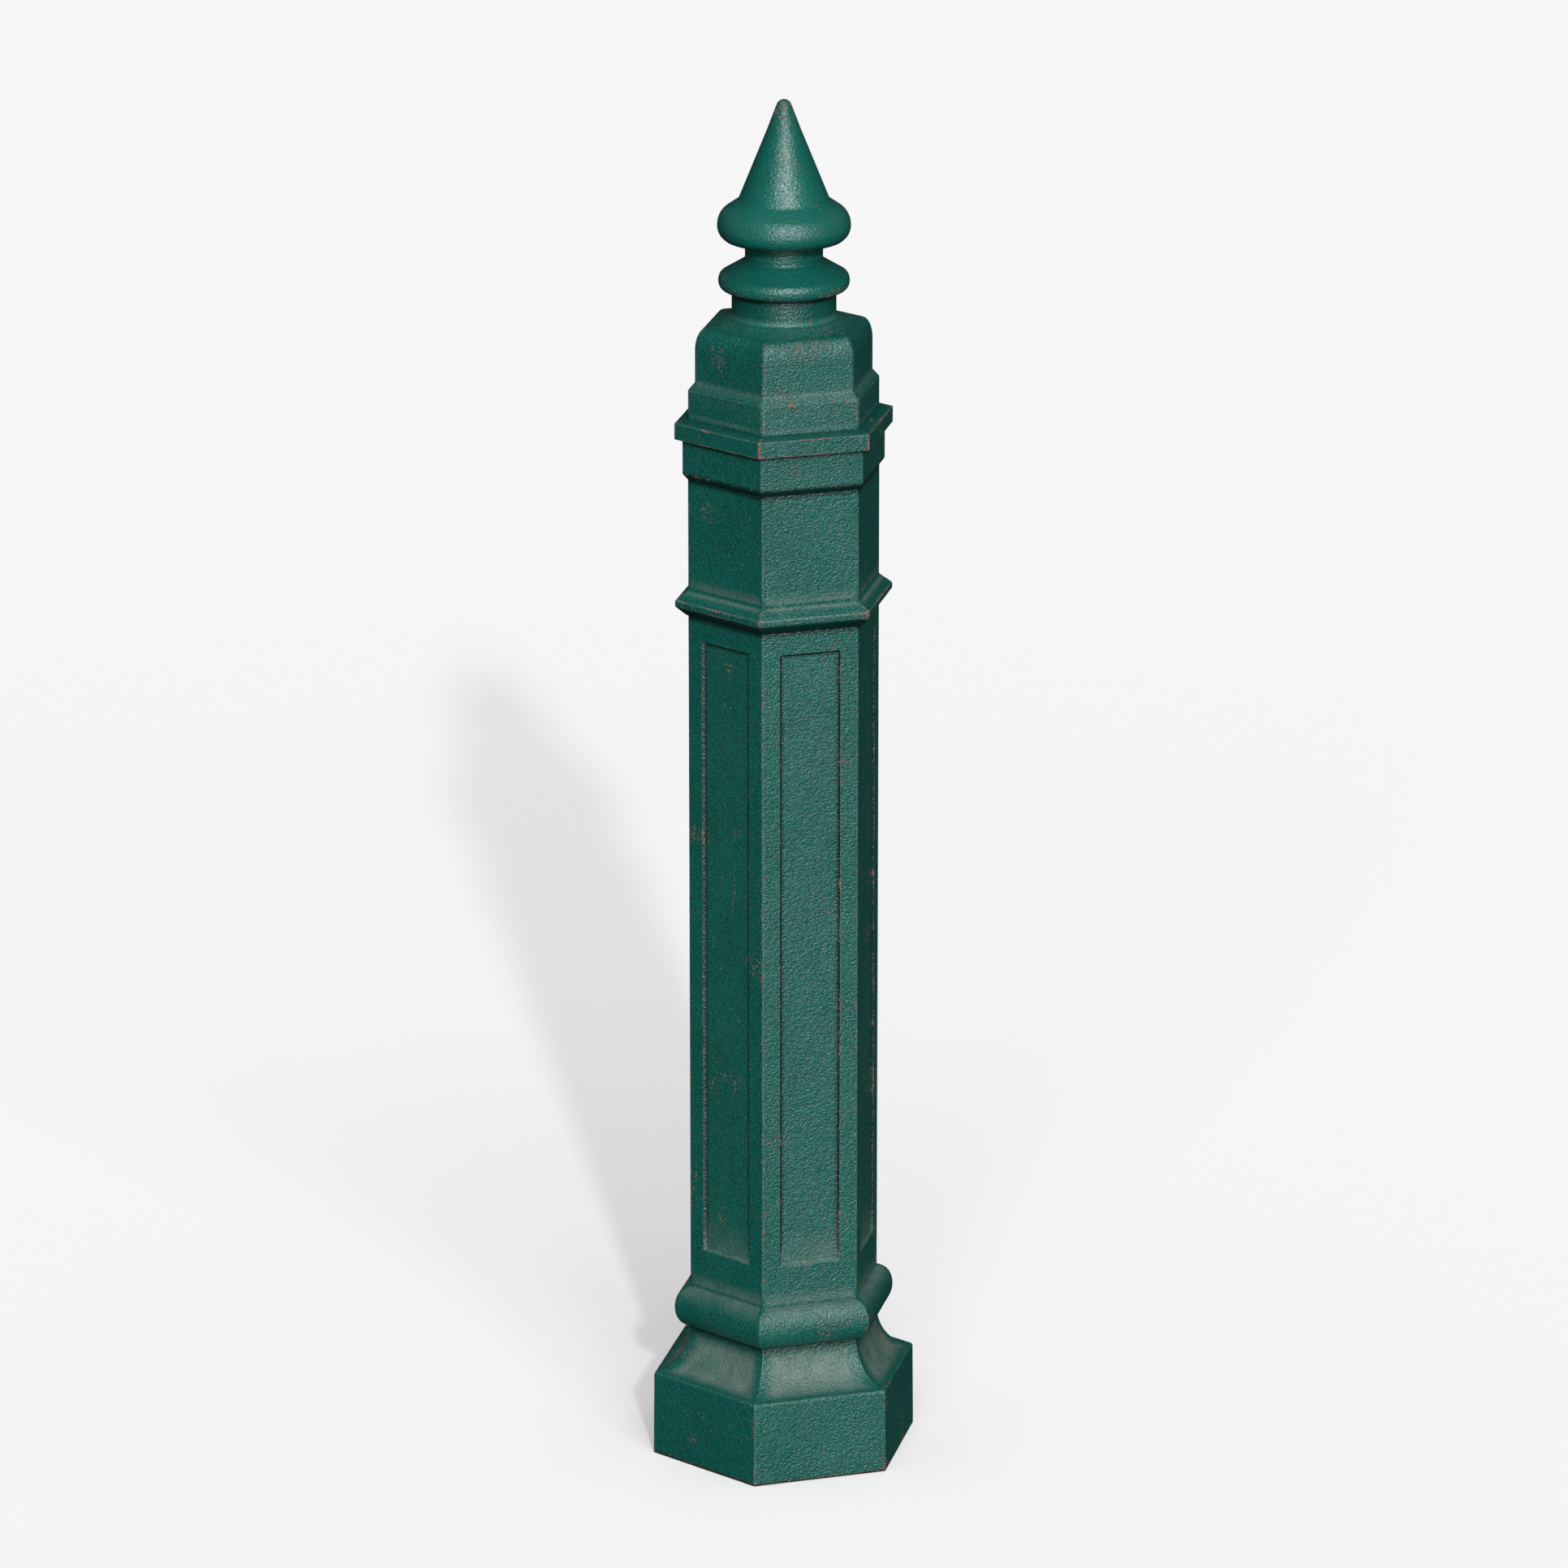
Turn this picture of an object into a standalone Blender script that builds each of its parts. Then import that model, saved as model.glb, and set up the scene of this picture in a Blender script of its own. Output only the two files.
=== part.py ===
"""Hexagonal cast-iron bollard with panelled faces and a turned finial.

Hollow castings stand on one another, each located by a spigot, and a central
tie rod clamps them. The finial screws on to the top of the rod.
Metres, +Z up; the origin is the middle of the foot. The hexagon has its
corners on the X axis and its flats square to the Y axis.
"""

import math

import bmesh
import bpy
from mathutils import Matrix, Vector

# Driving sizes. A hexagonal size is the radius to a corner.
SHAFT_R = 0.078
PLINTH_R = 1.40 * SHAFT_R
MOULDING_R = 1.14 * SHAFT_R
TORUS_R = 1.172 * SHAFT_R
BAND_R = 1.0565 * SHAFT_R
HEAD_R = 0.928 * SHAFT_R
CROWN_R = 0.815 * SHAFT_R
GAP = 0.0003

# Heights of the joints between castings
PLINTH_SEAT = 0.105
TORUS_SEAT = 0.1391
SHAFT_SEAT = 0.6931
ARRIS_SEAT = 0.7146
UPPER_SEAT = 0.8027
CAPITAL_SEAT = 0.8510
HEAD_SEAT = 0.9274
DISC_SEAT = 0.9790

# Heights along the hexagonal castings
PLINTH_TOP = 0.0685
ARRIS_LIP = (0.7016, 0.7062)
BAND_CHAMFER = 0.8075
BAND_TOP = 0.8356
FLANGE_TOP = 0.8485
LEDGE_TOP = 0.8737
LEDGE_CHAMFER = 0.8799
SHOULDER = 0.9050
CROWN_TOP = 0.9220

# Inside of the castings
SOCKET_R = 0.0657
SPIGOT_R = 0.0650
BORE_R = 0.0550
SPIGOT_HEIGHT = 0.008
SPIGOT_CHAMFER = 0.0012
HEAD_WALL = 0.012
SOCKET_DEPTH = 0.009
WEB_DEPTH = 0.018
WEB_SLOPE = 0.006
CAVITY_R = 0.0920
CAVITY_TOP = 0.058
PLATE_SHOULDER_R = 0.0895
ARRIS_SOCKET_SLOPE = 0.004

# Seals, each in a groove in the seat of the casting below it
GROOVE_IN = 0.0686
GROOVE_OUT = 0.0734
SEAL_WIDTH_CLEARANCE = 0.0004
SEAL_THICKNESS = 0.0013
NECK_SEAL = (0.0320, 0.0360)

# Sunk panels in the faces of the shaft
PANEL_BOTTOM = 0.1724
PANEL_TOP = 0.6751
PANEL_WIDTH = 0.0491
PANEL_DEPTH = 0.0020
PANEL_SLOPE = 0.0014

# Neck and disc
NECK_R = 0.0405
NECK_TOP = 0.9465
NECK_FLARE = 0.003
NECK_FLARE_TOP = 0.9490
NECK_SEAT_MARGIN = 0.001
DISC_R = 0.0508
DISC_HEIGHT = 0.9560
DISC_CORE_R = 0.0470
DISC_RISE = 0.0062
UPPER_NECK_R = 0.0302
COVE_R = 0.003
COVE_HEIGHT = 0.9745
NECK_SPIGOT_R = 0.0275
NECK_SPIGOT_HEIGHT = 0.008
NECK_SPIGOT_CLEARANCE = 0.0005
NECK_BORE_R = 0.020
NECK_BORE_TOPS = (0.958, 0.966)

# Finial
FINIAL_FOOT = 0.9812
BULB_R = 0.0516
BULB_CORE_R = 0.0400
BULB_HEIGHT = 0.9993
BULB_RISE = 0.0150
BULB_DROP = 0.0125
BULB_UNDERSIDE = (0.0462, 0.9888)
CONE_FOOT = (0.0353, 1.0196)
TIP_R = 0.0061
APEX = 1.0981

# Tie rod and its fasteners, to M20
ROD_R = 0.0100
THREAD_BORE_R = 0.0103
ROD_CLEARANCE_R = 0.0110
ROD_FOOT = 0.002
ROD_TOP = 1.038
ROD_CHAMFER = 0.0015
NUT_R = 0.0150 / math.cos(math.radians(30))
NUT_HEIGHT = 0.016
NUT_CHAMFER = 0.0018
WASHER_R = 0.0185
WASHER_HEIGHT = 0.003
SPRING_R = (0.0106, 0.0168)
SPRING_HEIGHT = 0.004
SLIT_SIZE = (0.012, 0.0018, 0.012)
FINIAL_CAVITY_R = 0.024
FINIAL_CAVITY_TOP = 1.006
FINIAL_BORE_TOP = 1.040
FINIAL_BORE_POINT = 0.004
FINIAL_WASHER = (0.0255, 0.0292, 0.0016)

# Anchor plate
PLATE_R = 0.0912
PLATE_HEIGHT = 0.012
PLATE_CHAMFER = 0.0012
BOSS_R = 0.019
BOSS_TOP = 0.030
ANCHOR_HOLES = 4
ANCHOR_CIRCLE_R = 0.058
ANCHOR_HOLE_R = 0.009
CUTTER_MARGIN = 0.01

HEX_SIDES = 6
ROUND_SIDES = 40
SMALL_SIDES = 32
HOLE_SIDES = 24

PAINT = ("bottle_green_paint", (0.010, 0.115, 0.090), 0.42, 0.0)
ZINC = ("zinc_plated_steel", (0.55, 0.56, 0.57), 0.38, 1.0)
PLATE_STEEL = ("galvanised_plate", (0.46, 0.48, 0.50), 0.52, 1.0)
SEAL_RUBBER = ("black_seal_rubber", (0.020, 0.020, 0.021), 0.75, 0.0)
WASHER_NYLON = ("grey_nylon", (0.30, 0.31, 0.30), 0.50, 0.0)


def clear_scene():
    for obj in list(bpy.data.objects):
        bpy.data.objects.remove(obj)


def new_collection(name):
    collection = bpy.data.collections.new(name)
    bpy.context.scene.collection.children.link(collection)
    return collection


def material_from(look):
    name, colour, roughness, metallic = look
    material = bpy.data.materials.get(name) or bpy.data.materials.new(name)
    material.use_nodes = True
    shader = material.node_tree.nodes["Principled BSDF"]
    shader.inputs["Base Color"].default_value = (*colour, 1.0)
    shader.inputs["Roughness"].default_value = roughness
    shader.inputs["Metallic"].default_value = metallic
    return material


def arc(centre, radii, start, end, steps):
    """Points on an ellipse in the (radius, height) plane, between two angles in degrees."""
    points = []
    for i in range(steps + 1):
        angle = math.radians(start + (end - start) * i / steps)
        points.append((centre[0] + radii[0] * math.cos(angle), centre[1] + radii[1] * math.sin(angle)))
    return points


def turned(name, outline, sides, look, closed=True):
    """Turns an outline about Z. It runs down its outer side from the top; its foot sets the origin."""
    foot = min(z for _, z in outline)
    mesh = bpy.data.meshes.new(name)
    count = len(outline)
    edges = [(i, i + 1) for i in range(count - 1)]
    if closed:
        edges.append((count - 1, 0))
    mesh.from_pydata([(r, 0.0, z - foot) for r, z in outline], edges, [])
    obj = bpy.data.objects.new(name, mesh)
    obj.location.z = foot
    mesh.materials.append(material_from(look))
    screw = obj.modifiers.new("turn", "SCREW")
    screw.steps = sides
    screw.render_steps = sides
    screw.use_merge_vertices = True
    screw.merge_threshold = 0.00001
    screw.use_smooth_shade = sides > HEX_SIDES
    parts.objects.link(obj)
    return obj


def as_cutter(obj, collection):
    parts.objects.unlink(obj)
    collection.objects.link(obj)
    obj.hide_render = True
    obj.display_type = "WIRE"
    return obj


def cylinder(name, radius, bottom, top, sides=SMALL_SIDES, look=ZINC):
    outline = [(0.0, top), (radius, top), (radius, bottom), (0.0, bottom)]
    return turned(name, outline, sides, look, closed=False)


def combine(obj, operation, other):
    modifier = obj.modifiers.new(operation.lower() + "_" + other.name, "BOOLEAN")
    modifier.operation = operation
    modifier.solver = "EXACT"
    modifier.object = other


def cut_by_collection(obj, collection):
    modifier = obj.modifiers.new("cut_" + collection.name, "BOOLEAN")
    modifier.operation = "DIFFERENCE"
    modifier.solver = "EXACT"
    modifier.operand_type = "COLLECTION"
    modifier.collection = collection


def ring(inner, outer, bottom, top):
    return [(inner, top), (outer, top), (outer, bottom), (inner, bottom)]


def spigot(seat):
    """Hollow tongue on top of a casting, from its inner rim out to the seat."""
    top = seat + SPIGOT_HEIGHT
    return [
        (BORE_R, top),
        (SPIGOT_R - SPIGOT_CHAMFER, top),
        (SPIGOT_R, top - SPIGOT_CHAMFER),
        (SPIGOT_R, seat),
    ]


def seal_groove(seat):
    floor = seat - SEAL_THICKNESS - GAP
    return [(GROOVE_IN, seat), (GROOVE_IN, floor), (GROOVE_OUT, floor), (GROOVE_OUT, seat)]


def socketed(outside, foot, seat, socket_top, slope=WEB_SLOPE):
    """Outline of a casting with a socket in its foot and a spigot on its seat."""
    inside = [(SOCKET_R, foot), (SOCKET_R, socket_top), (BORE_R, socket_top + slope)]
    return spigot(seat) + seal_groove(seat) + outside + inside


def make_base_plinth():
    rise = PLINTH_SEAT - PLINTH_TOP
    cavetto = arc((PLINTH_R, PLINTH_SEAT), (PLINTH_R - SHAFT_R, rise), 180, 270, 8)
    outside = cavetto + [(PLINTH_R, 0.0)]
    inside = [
        (CAVITY_R, 0.0),
        (CAVITY_R, PLATE_HEIGHT + GAP),
        (PLATE_SHOULDER_R, PLATE_HEIGHT + GAP),
        (PLATE_SHOULDER_R, CAVITY_TOP),
        (SOCKET_R, PLINTH_SEAT - WEB_DEPTH),
        (BORE_R, PLINTH_SEAT - WEB_DEPTH + WEB_SLOPE),
    ]
    outline = spigot(PLINTH_SEAT) + seal_groove(PLINTH_SEAT) + outside + inside
    return turned("base_plinth", outline, HEX_SIDES, PAINT)


def make_torus_collar():
    foot = PLINTH_SEAT + GAP
    middle = (foot + TORUS_SEAT) / 2
    outside = arc((SHAFT_R, middle), (TORUS_R - SHAFT_R, (TORUS_SEAT - foot) / 2), 90, -90, 12)
    outline = socketed(outside, foot, TORUS_SEAT, foot + SOCKET_DEPTH)
    return turned("torus_collar", outline, HEX_SIDES, PAINT)


def panel_cutter(index):
    """Tapered block that sinks one face of the shaft, with a sloped edge all round."""
    proud = 0.004
    spread = PANEL_SLOPE / PANEL_DEPTH
    face = SHAFT_R * math.cos(math.radians(30))
    mesh = bpy.data.meshes.new("panel_cutter")
    form = bmesh.new()
    bmesh.ops.create_cube(form, size=1.0)
    for vertex in form.verts:
        outer = vertex.co.x > 0
        widening = spread * (proud if outer else -PANEL_DEPTH)
        width = PANEL_WIDTH + 2 * widening
        height = PANEL_TOP - PANEL_BOTTOM + 2 * widening
        depth = proud if outer else -PANEL_DEPTH
        vertex.co = Vector((face + depth, vertex.co.y * width, vertex.co.z * height))
    form.to_mesh(mesh)
    form.free()
    cutter = bpy.data.objects.new(f"panel_cutter_{index + 1}", mesh)
    cutter.rotation_euler.z = math.radians(30 + 60 * index)
    cutter.location.z = (PANEL_TOP + PANEL_BOTTOM) / 2
    cutter.hide_render = True
    cutter.display_type = "WIRE"
    return cutter


def make_panelled_shaft():
    foot = TORUS_SEAT + GAP
    outside = [(SHAFT_R, SHAFT_SEAT), (SHAFT_R, foot)]
    outline = socketed(outside, foot, SHAFT_SEAT, SHAFT_SEAT - WEB_DEPTH)
    shaft = turned("panelled_shaft", outline, HEX_SIDES, PAINT)
    panels = bpy.data.collections.new("panel_cutters")
    cutters.children.link(panels)
    for index in range(HEX_SIDES):
        panels.objects.link(panel_cutter(index))
    cut_by_collection(shaft, panels)
    return shaft


def make_arris_moulding():
    foot = SHAFT_SEAT + GAP
    lip_bottom, lip_top = ARRIS_LIP
    outside = [(SHAFT_R, ARRIS_SEAT), (MOULDING_R, lip_top), (MOULDING_R, lip_bottom), (SHAFT_R, foot)]
    outline = socketed(outside, foot, ARRIS_SEAT, foot + SOCKET_DEPTH, ARRIS_SOCKET_SLOPE)
    return turned("arris_moulding", outline, HEX_SIDES, PAINT)


def make_upper_shaft():
    foot = ARRIS_SEAT + GAP
    outside = [(SHAFT_R, UPPER_SEAT), (SHAFT_R, foot)]
    outline = socketed(outside, foot, UPPER_SEAT, UPPER_SEAT - WEB_DEPTH)
    return turned("upper_shaft", outline, HEX_SIDES, PAINT)


def make_capital_band():
    foot = UPPER_SEAT + GAP
    outside = [
        (SHAFT_R, CAPITAL_SEAT),
        (MOULDING_R, FLANGE_TOP),
        (MOULDING_R, BAND_TOP),
        (BAND_R, BAND_TOP),
        (BAND_R, BAND_CHAMFER),
        (SHAFT_R, foot),
    ]
    outline = socketed(outside, foot, CAPITAL_SEAT, CAPITAL_SEAT - WEB_DEPTH)
    return turned("capital_band", outline, HEX_SIDES, PAINT)


def make_head():
    foot = CAPITAL_SEAT + GAP
    seat_r = NECK_R / math.cos(math.radians(30)) + NECK_SEAT_MARGIN
    roof = HEAD_SEAT - HEAD_WALL
    shoulder = arc((CROWN_R, SHOULDER), (HEAD_R - CROWN_R, CROWN_TOP - SHOULDER), 90, 0, 6)
    outside = [(NECK_BORE_R, HEAD_SEAT), (seat_r, HEAD_SEAT)] + shoulder
    outside += [(HEAD_R, LEDGE_CHAMFER), (SHAFT_R, LEDGE_TOP), (SHAFT_R, foot)]
    inside = [
        (SOCKET_R, foot),
        (SOCKET_R, foot + SOCKET_DEPTH),
        (HEAD_R - HEAD_WALL, LEDGE_TOP),
        (HEAD_R - HEAD_WALL, SHOULDER - WEB_SLOPE),
        (seat_r, roof),
        (NECK_BORE_R, roof),
    ]
    head = turned("head_block", outside + inside, HEX_SIDES, PAINT)
    hole_r = NECK_SPIGOT_R + NECK_SPIGOT_CLEARANCE
    hole = cylinder("neck_hole_cutter", hole_r, roof - CUTTER_MARGIN, HEAD_SEAT + CUTTER_MARGIN, ROUND_SIDES)
    combine(head, "DIFFERENCE", as_cutter(hole, cutters))
    return head


def make_neck_disc():
    foot = HEAD_SEAT + GAP
    spigot_foot = HEAD_SEAT - NECK_SPIGOT_HEIGHT
    groove_in, groove_out = NECK_SEAL[0] - SEAL_WIDTH_CLEARANCE, NECK_SEAL[1] + SEAL_WIDTH_CLEARANCE
    groove_top = foot + SEAL_THICKNESS + GAP
    bore_shoulder, bore_neck = NECK_BORE_TOPS
    cove = arc((UPPER_NECK_R + COVE_R, COVE_HEIGHT), (COVE_R, COVE_R), 180, 230, 3)
    rim = arc((DISC_CORE_R, DISC_HEIGHT), (DISC_R - DISC_CORE_R, DISC_RISE), 70, -90, 10)
    outline = [(ROD_CLEARANCE_R, DISC_SEAT), (UPPER_NECK_R, DISC_SEAT)] + cove + rim
    outline += [(NECK_R + NECK_FLARE, NECK_FLARE_TOP), (NECK_R, NECK_TOP), (NECK_R, foot)]
    outline += [(groove_out, foot), (groove_out, groove_top), (groove_in, groove_top), (groove_in, foot)]
    outline += [(NECK_SPIGOT_R, foot), (NECK_SPIGOT_R, spigot_foot), (NECK_BORE_R, spigot_foot)]
    outline += [(NECK_BORE_R, bore_shoulder), (ROD_CLEARANCE_R, bore_neck)]
    return turned("neck_disc", outline, ROUND_SIDES, PAINT)


def make_finial():
    """Cone with a rounded tip, on a bulb with a flat underside and a short neck, hollow from below."""
    cone_r, cone_height = CONE_FOOT
    tip_centre = APEX - TIP_R
    lean = math.degrees(math.atan2(cone_r - TIP_R, tip_centre - cone_height))
    tip = arc((0.0, tip_centre), (TIP_R, TIP_R), 90, lean, 5)
    tip[0] = (0.0, APEX)
    upper_bulb = arc((BULB_CORE_R, BULB_HEIGHT), (BULB_R - BULB_CORE_R, BULB_RISE), 62, 0, 6)
    lower_bulb = arc((BULB_CORE_R, BULB_HEIGHT), (BULB_R - BULB_CORE_R, BULB_DROP), -12, -40, 3)
    outline = tip + [CONE_FOOT] + upper_bulb + lower_bulb
    outline += [BULB_UNDERSIDE, (UPPER_NECK_R, BULB_UNDERSIDE[1]), (UPPER_NECK_R, FINIAL_FOOT)]
    outline += [(FINIAL_CAVITY_R, FINIAL_FOOT), (FINIAL_CAVITY_R, FINIAL_CAVITY_TOP)]
    outline += [(THREAD_BORE_R, FINIAL_CAVITY_TOP), (THREAD_BORE_R, FINIAL_BORE_TOP)]
    outline += [(0.0, FINIAL_BORE_TOP + FINIAL_BORE_POINT)]
    return turned("finial", outline, ROUND_SIDES, PAINT, closed=False)


def make_seals():
    seats = {
        "plinth_seal": PLINTH_SEAT,
        "torus_seal": TORUS_SEAT,
        "shaft_seal": SHAFT_SEAT,
        "arris_seal": ARRIS_SEAT,
        "upper_shaft_seal": UPPER_SEAT,
        "capital_seal": CAPITAL_SEAT,
    }
    inner, outer = GROOVE_IN + SEAL_WIDTH_CLEARANCE, GROOVE_OUT - SEAL_WIDTH_CLEARANCE
    for name, seat in seats.items():
        bottom = seat - SEAL_THICKNESS
        turned(name, ring(inner, outer, bottom, seat), HEX_SIDES, SEAL_RUBBER)
    bottom = HEAD_SEAT + GAP
    turned("neck_seal", ring(*NECK_SEAL, bottom, bottom + SEAL_THICKNESS), ROUND_SIDES, SEAL_RUBBER)


def make_anchor_plate():
    outline = [
        (0.0, PLATE_HEIGHT),
        (PLATE_R - PLATE_CHAMFER, PLATE_HEIGHT),
        (PLATE_R, PLATE_HEIGHT - PLATE_CHAMFER),
        (PLATE_R, 0.0),
        (0.0, 0.0),
    ]
    plate = turned("anchor_plate", outline, HEX_SIDES, PLATE_STEEL, closed=False)
    boss = cylinder("boss_form", BOSS_R, PLATE_HEIGHT / 2, BOSS_TOP)
    combine(plate, "UNION", as_cutter(boss, cutters))
    bore = cylinder("rod_hole_cutter", THREAD_BORE_R, -CUTTER_MARGIN, BOSS_TOP + CUTTER_MARGIN)
    combine(plate, "DIFFERENCE", as_cutter(bore, cutters))
    holes = bpy.data.collections.new("anchor_hole_cutters")
    cutters.children.link(holes)
    for index in range(ANCHOR_HOLES):
        angle = math.radians(45 + 360 * index / ANCHOR_HOLES)
        name = f"anchor_hole_cutter_{index + 1}"
        hole = cylinder(name, ANCHOR_HOLE_R, -CUTTER_MARGIN, PLATE_HEIGHT + CUTTER_MARGIN, HOLE_SIDES)
        hole.location.x = ANCHOR_CIRCLE_R * math.cos(angle)
        hole.location.y = ANCHOR_CIRCLE_R * math.sin(angle)
        as_cutter(hole, holes)
    cut_by_collection(plate, holes)
    return plate


def make_tie_rod():
    outline = [
        (0.0, ROD_TOP),
        (ROD_R - ROD_CHAMFER, ROD_TOP),
        (ROD_R, ROD_TOP - ROD_CHAMFER),
        (ROD_R, ROD_FOOT + ROD_CHAMFER),
        (ROD_R - ROD_CHAMFER, ROD_FOOT),
        (0.0, ROD_FOOT),
    ]
    return turned("tie_rod", outline, SMALL_SIDES, ZINC, closed=False)


def make_nut(name, bottom):
    """Hexagon nut: a hexagonal bar end met by a turned form that chamfers its corners and bores it."""
    top = bottom + NUT_HEIGHT
    bar = [(0.0, top), (NUT_R, top), (NUT_R, bottom), (0.0, bottom)]
    nut = turned(name, bar, HEX_SIDES, ZINC, closed=False)
    beyond = 0.001
    turning = [
        (THREAD_BORE_R, top + beyond),
        (NUT_R - 4 * beyond, top + beyond),
        (NUT_R - 2 * beyond, top),
        (NUT_R + beyond, top - NUT_CHAMFER),
        (NUT_R + beyond, bottom + NUT_CHAMFER),
        (NUT_R - 2 * beyond, bottom),
        (NUT_R - 4 * beyond, bottom - beyond),
        (THREAD_BORE_R, bottom - beyond),
    ]
    form = turned(name + "_form", turning, SMALL_SIDES, ZINC)
    combine(nut, "INTERSECT", as_cutter(form, cutters))
    return nut


def make_tie_washer(bottom):
    outline = ring(ROD_CLEARANCE_R, WASHER_R, bottom, bottom + WASHER_HEIGHT)
    return turned("tie_washer", outline, SMALL_SIDES, ZINC)


def make_spring_washer(bottom):
    """Ring with one slanted slit."""
    spring = turned("spring_washer", ring(*SPRING_R, bottom, bottom + SPRING_HEIGHT), SMALL_SIDES, ZINC)
    slit = bpy.data.meshes.new("slit_cutter")
    form = bmesh.new()
    bmesh.ops.create_cube(form, size=1.0, matrix=Matrix.Diagonal((*SLIT_SIZE, 1.0)))
    form.to_mesh(slit)
    form.free()
    cutter = bpy.data.objects.new("slit_cutter", slit)
    cutter.location = (sum(SPRING_R) / 2, 0.0, bottom + SPRING_HEIGHT / 2)
    cutter.rotation_euler.x = math.radians(25)
    parts.objects.link(cutter)
    combine(spring, "DIFFERENCE", as_cutter(cutter, cutters))
    return spring


def make_finial_washer():
    inner, outer, height = FINIAL_WASHER
    bottom = DISC_SEAT + GAP
    return turned("finial_washer", ring(inner, outer, bottom, bottom + height), ROUND_SIDES, WASHER_NYLON)


def stand_on(empty_name, height, children):
    """Parents pieces to an empty on the axis, keeping each where it is."""
    empty = bpy.data.objects.new(empty_name, None)
    empty.location.z = height
    parts.objects.link(empty)
    for child in children:
        child.parent = empty
        child.location.z -= height


clear_scene()
parts = new_collection("hexagonal_bollard")
cutters = new_collection("cutters")

make_base_plinth()
make_torus_collar()
make_panelled_shaft()
make_arris_moulding()
make_upper_shaft()
make_capital_band()
make_head()
make_neck_disc()
make_seals()
make_anchor_plate()
make_tie_rod()
make_nut("rod_lock_nut", BOSS_TOP + GAP)
washer_seat = DISC_SEAT + GAP
spring_seat = washer_seat + WASHER_HEIGHT + GAP
make_tie_washer(washer_seat)
make_spring_washer(spring_seat)
make_nut("tie_nut", spring_seat + SPRING_HEIGHT + GAP)
stand_on("finial_axis", DISC_SEAT, [make_finial_washer(), make_finial()])
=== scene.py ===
"""Looks of the hexagonal cast-iron bollard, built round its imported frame. Metres, +Z up."""

import math

import bmesh
import bpy
import numpy as np
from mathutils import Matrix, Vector, noise


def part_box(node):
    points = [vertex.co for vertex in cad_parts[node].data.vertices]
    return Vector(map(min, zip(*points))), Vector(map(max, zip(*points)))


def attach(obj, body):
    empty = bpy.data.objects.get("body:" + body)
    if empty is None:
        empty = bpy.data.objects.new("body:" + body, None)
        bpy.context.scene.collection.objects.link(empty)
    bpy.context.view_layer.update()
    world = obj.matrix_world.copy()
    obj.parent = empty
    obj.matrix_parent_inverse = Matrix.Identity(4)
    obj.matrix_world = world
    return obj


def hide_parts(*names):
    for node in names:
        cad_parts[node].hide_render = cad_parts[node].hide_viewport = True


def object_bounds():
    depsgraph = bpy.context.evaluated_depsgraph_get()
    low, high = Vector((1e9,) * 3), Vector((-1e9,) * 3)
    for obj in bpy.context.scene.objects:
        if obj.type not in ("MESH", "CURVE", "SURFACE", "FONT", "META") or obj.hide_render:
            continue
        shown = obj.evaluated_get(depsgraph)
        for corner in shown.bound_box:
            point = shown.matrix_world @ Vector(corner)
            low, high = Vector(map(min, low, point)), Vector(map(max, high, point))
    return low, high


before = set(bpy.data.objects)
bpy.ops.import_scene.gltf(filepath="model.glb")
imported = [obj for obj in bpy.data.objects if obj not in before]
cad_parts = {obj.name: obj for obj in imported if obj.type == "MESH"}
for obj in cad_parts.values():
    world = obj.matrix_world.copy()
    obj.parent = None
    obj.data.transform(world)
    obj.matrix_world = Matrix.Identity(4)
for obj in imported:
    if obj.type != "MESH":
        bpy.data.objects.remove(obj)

CAD_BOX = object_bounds()
MM = 0.001
COS30 = math.cos(math.radians(30))
TAN30 = math.tan(math.radians(30))
GAP = 0.0003  # between CAD solids that touch
JOINT = 0.00005  # between castings here, which the paint bridges


def top_of(node):
    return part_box(node)[1].z


def foot_of(node):
    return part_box(node)[0].z


# Driving sizes, read from the frame. A hexagonal size is the radius to a corner.
HEIGHT = CAD_BOX[1][2]
PLINTH_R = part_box("base_plinth")[1].x
TORUS_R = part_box("torus_collar")[1].x
SHAFT_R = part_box("panelled_shaft")[1].x
MOULDING_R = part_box("arris_moulding")[1].x
DISC_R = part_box("neck_disc")[1].x
BULB_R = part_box("finial")[1].x
PLINTH_SEAT = foot_of("torus_collar") - GAP
TORUS_SEAT = foot_of("panelled_shaft") - GAP
SHAFT_SEAT = foot_of("arris_moulding") - GAP
ARRIS_SEAT = foot_of("upper_shaft") - GAP
UPPER_SEAT = foot_of("capital_band") - GAP
CAPITAL_SEAT = foot_of("head_block") - GAP
HEAD_SEAT = top_of("head_block")
DISC_SEAT = top_of("neck_disc")
FINIAL_FOOT = foot_of("finial")
BAND_R = 1.0565 * SHAFT_R
HEAD_R = 0.928 * SHAFT_R
CROWN_R = 0.815 * SHAFT_R

# Heights of the mouldings that lie inside one casting
PLINTH_TOP = 0.0685
ARRIS_LIP = (0.7016, 0.7062)
BAND_CHAMFER = 0.8075
BAND_TOP = 0.8356
FLANGE_TOP = 0.8485
LEDGE_TOP = 0.8737
LEDGE_CHAMFER = 0.8799
SHOULDER = 0.9050
CROWN_TOP = 0.9220

# Insides of the castings
SOCKET_R = 0.0657
SPIGOT_R = 0.0650
BORE_R = 0.0550
SPIGOT_HEIGHT = 0.008
SOCKET_DEPTH = 0.009
WEB_DEPTH = 0.018
GROOVE = (0.0686, 0.0734, 0.0016)
HEAD_WALL = 0.012
HEAD_ROOF_R = 0.046
PLATE_R = 0.0895
CAVITY = (0.0920, 0.0123, 0.058)

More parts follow.
